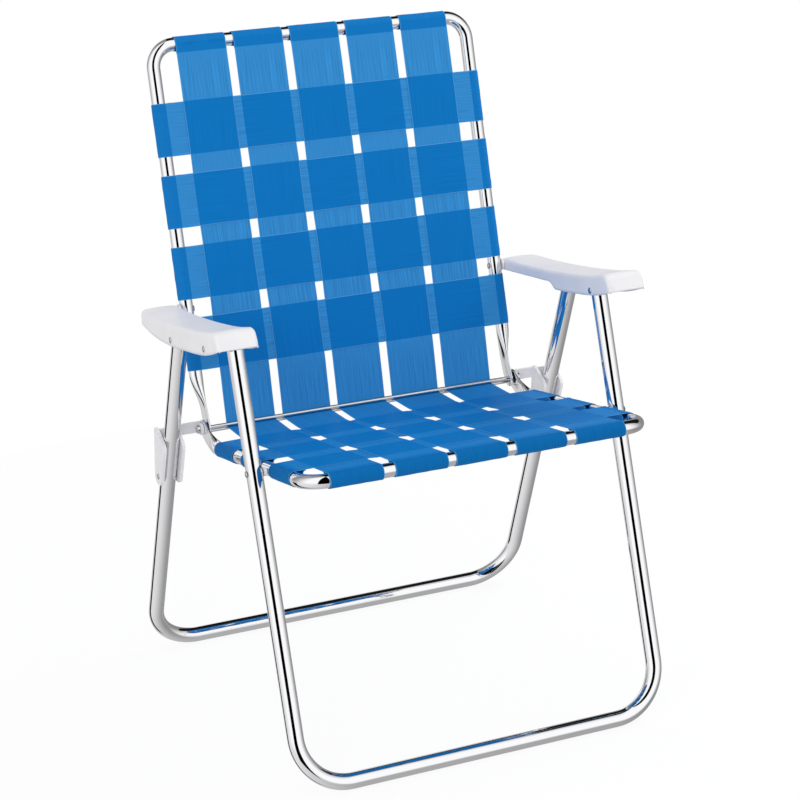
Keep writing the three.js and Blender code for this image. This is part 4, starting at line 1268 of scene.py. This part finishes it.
class LAWNCHAIR_OT_frame_hoops(LawnChairPiece, bpy.types.Operator):
    """Make the back and seat hoops, with their flattened ends"""

    bl_idname = "lawnchair.frame_hoops"
    bl_label = "Back and Seat Hoops"

    def make(self, settings, view):
        t = settings.tubes
        for name, hoop, blend, strip, inset in (
            ("back", view.back, t.back_blend, t.back_strip, t.back_inset),
            ("seat", view.seat, t.seat_blend, t.seat_strip, 0.0),
        ):
            names = (f"{name}_tube", f"{name}_frame")
            frame_tube(*names, hoop, view.hinge, blend, strip, inset, settings)


class LAWNCHAIR_OT_rods(LawnChairPiece, bpy.types.Operator):
    """Make the hinge rod and the lower rod, with the webs' turn between them"""

    bl_idname = "lawnchair.rods"
    bl_label = "Rods"

    def make(self, settings, view):
        f = settings.fastenings
        chamfer = 0.0005
        for name, node, radius, at in (
            ("hinge_rod_wire", "hinge_rod", f.rod / 2, view.hinge),
            ("lower_rod_wire", "back_lower_rod", f.lower_rod / 2, view.lower_rod),
        ):
            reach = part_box(node)[1].x
            right = [(reach - chamfer, radius), (reach, radius - chamfer), (reach, 0)]
            left = [(-x, r) for x, r in reversed(right)]
            shape = turned_across(left + right, at)
            add_solid(name, node, shape, plated_steel(settings.colours))


class LAWNCHAIR_OT_long_webs(LawnChairPiece, bpy.types.Operator):
    """Make the long webs, each from the top bar round the hinge rod to the front bar"""

    bl_idname = "lawnchair.long_webs"
    bl_label = "Long Webs"

    def make(self, settings, view):
        for i in range(settings.webs.long_count):
            long_web(i, settings, view)


class LAWNCHAIR_OT_cross_webs(LawnChairPiece, bpy.types.Operator):
    """Make the webs across the back and the seat"""

    bl_idname = "lawnchair.cross_webs"
    bl_label = "Cross Webs"

    def make(self, settings, view):
        for weave in weaves(settings, view):
            for j in range(len(weave.places)):
                cross_web(j, weave, settings, view)


class LAWNCHAIR_OT_armrests(LawnChairPiece, bpy.types.Operator):
    """Make the moulded armrests"""

    bl_idname = "lawnchair.armrests"
    bl_label = "Armrests"

    def make(self, settings, view):
        for name, sign in SIDES:
            armrest_shell(name, sign, settings, view)


class LAWNCHAIR_OT_fold_links(LawnChairPiece, bpy.types.Operator):
    """Make the moulded fold links"""

    bl_idname = "lawnchair.fold_links"
    bl_label = "Fold Links"

    def make(self, settings, view):
        for name, sign in SIDES:
            fold_link(name, sign, settings, view)


class LAWNCHAIR_OT_fastenings(LawnChairPiece, bpy.types.Operator):
    """Make the rivets, bolts, nuts, spacers, washers and caps"""

    bl_idname = "lawnchair.fastenings"
    bl_label = "Rivets and Washers"

    def make(self, settings, view):
        f, t = settings.fastenings, settings.tubes
        steel = plated_steel(settings.colours)
        dark = blackened_steel(settings.colours)
        plastic = moulded_polypropylene(settings.colours)
        leg, tube, shank = t.leg_diameter / 2, t.frame_diameter / 2, f.rivet / 2
        arm_in, arm_out = arm_sides(settings)
        link_in, link_out = link_sides(t)
        back_in, seat_in = t.back_half - tube - FIT, t.seat_half - tube - FIT
        bolt_past = 0.003
        bolt_end = arm_in + settings.mouldings.wall + bolt_past
        flange = CHEEK + FIT

        def rivet(x0, x1, heads=(True, True)):
            return domed(x0, x1, shank, f.rivet_head / 2, f.rivet_dome, heads)

        def ring(node):
            """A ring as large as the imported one"""
            low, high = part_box(f"{node}_right")
            return washer(low.x, high.x, shank + FIT, (high.z - low.z) / 2)

        outer_rivet = rivet(link_out, link_out + flange, (False, True))
        inner_rivet = rivet(link_in - flange, link_in, (True, False))
        for base, at, finish, profile in (
            ("arm_front_rivet", view.front_arm, steel, rivet(arm_in - FIT, arm_out + FIT)),
            ("arm_rear_rivet", view.rear_arm, steel, rivet(t.rear_half - leg - FIT, arm_out + FIT)),
            ("arm_back_bolt", view.back_pivot, steel, rivet(back_in, bolt_end, (True, False))),
            ("arm_back_nut", view.back_pivot, steel, None),
            ("arm_spacer", view.back_pivot, plastic, None),
            ("seat_pivot_rivet", view.seat_pivot, steel, rivet(seat_in, t.front_half + leg + FIT)),
            ("seat_pivot_spacer", view.seat_pivot, plastic, None),
            ("link_outer_rivet", view.link_pivot, steel, outer_rivet),
            ("link_inner_rivet", view.link_pivot, steel, inner_rivet),
            ("hinge_washer", view.hinge, dark, None),
            ("hinge_cap", view.hinge, steel, None),
        ):
            for name, sign in SIDES:
                shape = turned_across(profile or ring(base), at, sign)
                add_solid(f"{base}_turned_{name}", f"{base}_{name}", shape, finish)


class LAWNCHAIR_OT_stage(bpy.types.Operator):
    """Make the studio floor, the light and the camera"""

    bl_idname = "lawnchair.stage"
    bl_label = "Studio"

    def execute(self, context):
        scene = context.scene
        self.floor(scene.lawn_chair.colours)
        self.world(scene)
        self.lamps(scene)
        self.camera(scene)
        scene.view_settings.view_transform = "Standard"
        return {"FINISHED"}

    def floor(self, colours):
        """A round sheet of pale paper that the camera sees as white with a faint shadow, and that
        metal doesn't see"""
        material = bpy.data.materials.new("studio_paper")
        tree = empty_tree(material)
        path = add_node(tree, "ShaderNodeLightPath")
        seen, mirrored = path.outputs["Is Camera Ray"], path.outputs["Is Glossy Ray"]
        tone = blended(tree, seen, (*colours.floor, 1), WHITE)
        paper = add_node(tree, "ShaderNodeBsdfDiffuse", {"Color": tone})
        white = add_node(tree, "ShaderNodeEmission", {"Color": WHITE, "Strength": 1.0})
        # The camera sees mostly plain white, so that the shadow stays faint
        shown = either(tree, maths(tree, "MULTIPLY", seen, 0.9), paper, white)
        both = either(tree, mirrored, shown, add_node(tree, "ShaderNodeBsdfTransparent"))
        add_node(tree, "ShaderNodeOutputMaterial", {"Surface": both.outputs[0]})
        count, radius, below_feet = 96, 1.2, 0.0002
        edge = arc(0, 0, radius, [2 * math.pi * k / count for k in range(count)])
        floor = new_object("studio_floor", [p.to_3d() for p in edge], [tuple(range(count))])
        floor.data.materials.append(material)
        floor.location.z = -below_feet
        floor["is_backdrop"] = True

    def world(self, scene):
        """White all round for the camera, and plain light for cloth and plastic. Metal finds white
        panels over a pale floor, with dark flags between them"""
        world = bpy.data.worlds.new("studio")
        scene.world = world
        tree = empty_tree(world)
        way = add_node(tree, "ShaderNodeTexCoord").outputs["Generated"]
        part = add_node(tree, "ShaderNodeSeparateXYZ", {"Vector": way})
        rise = part.outputs["Z"]
        ahead = maths(tree, "MULTIPLY", part.outputs["Y"], -1.0)
        bearing = maths(tree, "ARCTAN2", part.outputs["X"], ahead)

        def near(value, middle, half, soft):
            """1 where a value is within half of the middle, softening to 0"""
            off = maths(tree, "ABSOLUTE", maths(tree, "ADD", value, -middle))
            return ramp(tree, off, (half - soft, half + soft), (1.0, 0.0), "SMOOTHSTEP")

        # White panels round the camera, fading to the sides, and the white backdrop
        front = near(bearing, math.radians(-22), math.radians(92), math.radians(38))
        sides = ramp(tree, front, (0.0, 1.0), (0.27, 1.06))
        beyond = near(maths(tree, "ABSOLUTE", bearing), math.pi, math.radians(23), 0.1)
        backdrop = maths(tree, "MULTIPLY", beyond, near(rise, -0.05, 0.4, 0.05))
        sides = ramp(tree, backdrop, (0.0, 1.0), (sides, 0.95))
        # The floor, brighter on the left
        ground = ramp(tree, part.outputs["X"], (-0.76, 0.76), (0.8, 0.3))
        panels = ramp(tree, rise, (-0.4, 0.0), (ground, sides), "SMOOTHSTEP")
        # Flags: bearing and half width in degrees, rise (1 is straight up), half height, brightness
        for middle, half, height, reach, dark in (
            (-22, 20, 0.4, 0.75, 0.0),
            (128, 42, 0.75, 0.4, 0.03),
            (-140, 13, -0.65, 0.33, 0.0),
        ):
            beside = near(bearing, math.radians(middle), math.radians(half), 0.03)
            flag = maths(tree, "MULTIPLY", beside, near(rise, height, reach, 0.03))
            panels = maths(tree, "MULTIPLY", panels, ramp(tree, flag, (0.0, 1.0), (1.0, dark)))
        # Plain room light, strongest from the sides
        above = ramp(tree, rise, (0.0, 1.0), (1.0, 0.65))
        level = ramp(tree, rise, (-0.15, 0.05), (0.72, above), "SMOOTHSTEP")
        mirrored, room, seen = (
            add_node(tree, "ShaderNodeBackground", {"Color": WHITE, "Strength": strength})
            for strength in (panels, level, 1.0)
        )
        path = add_node(tree, "ShaderNodeLightPath")
        light = either(tree, path.outputs["Is Glossy Ray"], room, mirrored)
        light = either(tree, path.outputs["Is Camera Ray"], light, seen)
        add_node(tree, "ShaderNodeOutputWorld", {"Surface": light.outputs[0]})

    def lamps(self, scene):
        """Two soft lamps, one in front and one above to the right. Metal sees the panels instead"""
        middle = Vector((0, 0, 0.5))
        # Name, place, size and watts
        for name, place, size, energy in (
            ("soft_box_front", (-1.9, -2.2, 1.6), 1.2, 21.0),
            ("soft_box_right", (1.5, 0.2, 1.7), 0.8, 12.0),
        ):
            lamp = bpy.data.lights.new(name, "AREA")
            lamp.shape = "SQUARE"
            lamp.size = size
            lamp.energy = energy
            soft_box = bpy.data.objects.new(name, lamp)
            soft_box.location = place
            way = middle - soft_box.location
            soft_box.rotation_euler = way.to_track_quat("-Z", "Y").to_euler()
            soft_box.visible_glossy = False
            scene.collection.objects.link(soft_box)

    def camera(self, scene):
        """The photograph's place and lens"""
        bearing, rise, roll = math.radians(-24.16), math.radians(19.90), math.radians(-1.07)
        target = Vector((0, -0.03143, 0.3879))
        distance = 3.21866
        # The photo's side, its focal length and its optical centre, in pixels
        side, focal, centre = 800, 2322.23, (407.35, 431.43)
        level = math.cos(rise)
        back = Vector((math.sin(bearing) * level, -math.cos(bearing) * level, math.sin(rise)))
        right = (-back).cross(Vector((0, 0, 1))).normalized()
        up = right.cross(-back)
        leaned = right * math.cos(roll) + up * math.sin(roll)
        upright = up * math.cos(roll) - right * math.sin(roll)
        lens = bpy.data.cameras.new("camera")
        lens.sensor_width = 36
        lens.lens = lens.sensor_width * focal / side
        lens.shift_x = (side / 2 - centre[0]) / side
        lens.shift_y = (centre[1] - side / 2) / side
        lens.clip_end = 100
        camera = bpy.data.objects.new("camera", lens)
        turn = Matrix((leaned, upright, back)).transposed()
        camera.matrix_world = Matrix.Translation(target + back * distance) @ turn.to_4x4()
        scene.collection.objects.link(camera)
        scene.camera = camera


class LAWNCHAIR_PT_panel(bpy.types.Panel):
    """Buttons for the pieces, then the sizes and colours"""

    bl_idname = "LAWNCHAIR_PT_panel"
    bl_label = "Lawn Chair"
    bl_space_type = "VIEW_3D"
    bl_region_type = "UI"
    bl_category = "Lawn Chair"

    def draw(self, context):
        settings = context.scene.lawn_chair
        for operator in OPERATORS:
            self.layout.operator(operator.bl_idname)
        for part in LawnChairSettings.__annotations__:
            box, sizes = self.layout.box(), getattr(settings, part)
            for name in sizes.__annotations__:
                box.prop(sizes, name)


OPERATORS = (
    LAWNCHAIR_OT_leg_hoops,
    LAWNCHAIR_OT_frame_hoops,
    LAWNCHAIR_OT_rods,
    LAWNCHAIR_OT_long_webs,
    LAWNCHAIR_OT_cross_webs,
    LAWNCHAIR_OT_armrests,
    LAWNCHAIR_OT_fold_links,
    LAWNCHAIR_OT_fastenings,
    LAWNCHAIR_OT_stage,
)
CLASSES = (
    LawnChairTubes,
    LawnChairWebs,
    LawnChairMouldings,
    LawnChairFastenings,
    LawnChairColours,
    LawnChairSettings,
    *OPERATORS,
    LAWNCHAIR_PT_panel,
)


def register():
    for cls in CLASSES:
        bpy.utils.register_class(cls)
    bpy.types.Scene.lawn_chair = PointerProperty(type=LawnChairSettings)


def unregister():
    del bpy.types.Scene.lawn_chair
    for cls in reversed(CLASSES):
        bpy.utils.unregister_class(cls)


def main():
    register()
    bpy.ops.lawnchair.leg_hoops()
    bpy.ops.lawnchair.frame_hoops()
    bpy.ops.lawnchair.rods()
    bpy.ops.lawnchair.long_webs()
    bpy.ops.lawnchair.cross_webs()
    bpy.ops.lawnchair.armrests()
    bpy.ops.lawnchair.fold_links()
    bpy.ops.lawnchair.fastenings()
    bpy.ops.lawnchair.stage()
    boxes = {"cad": CAD_BOX, "visual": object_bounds()}
    {name: [list(corner) for corner in box] for name, box in boxes.items()}


if __name__ == "__main__":
    main()
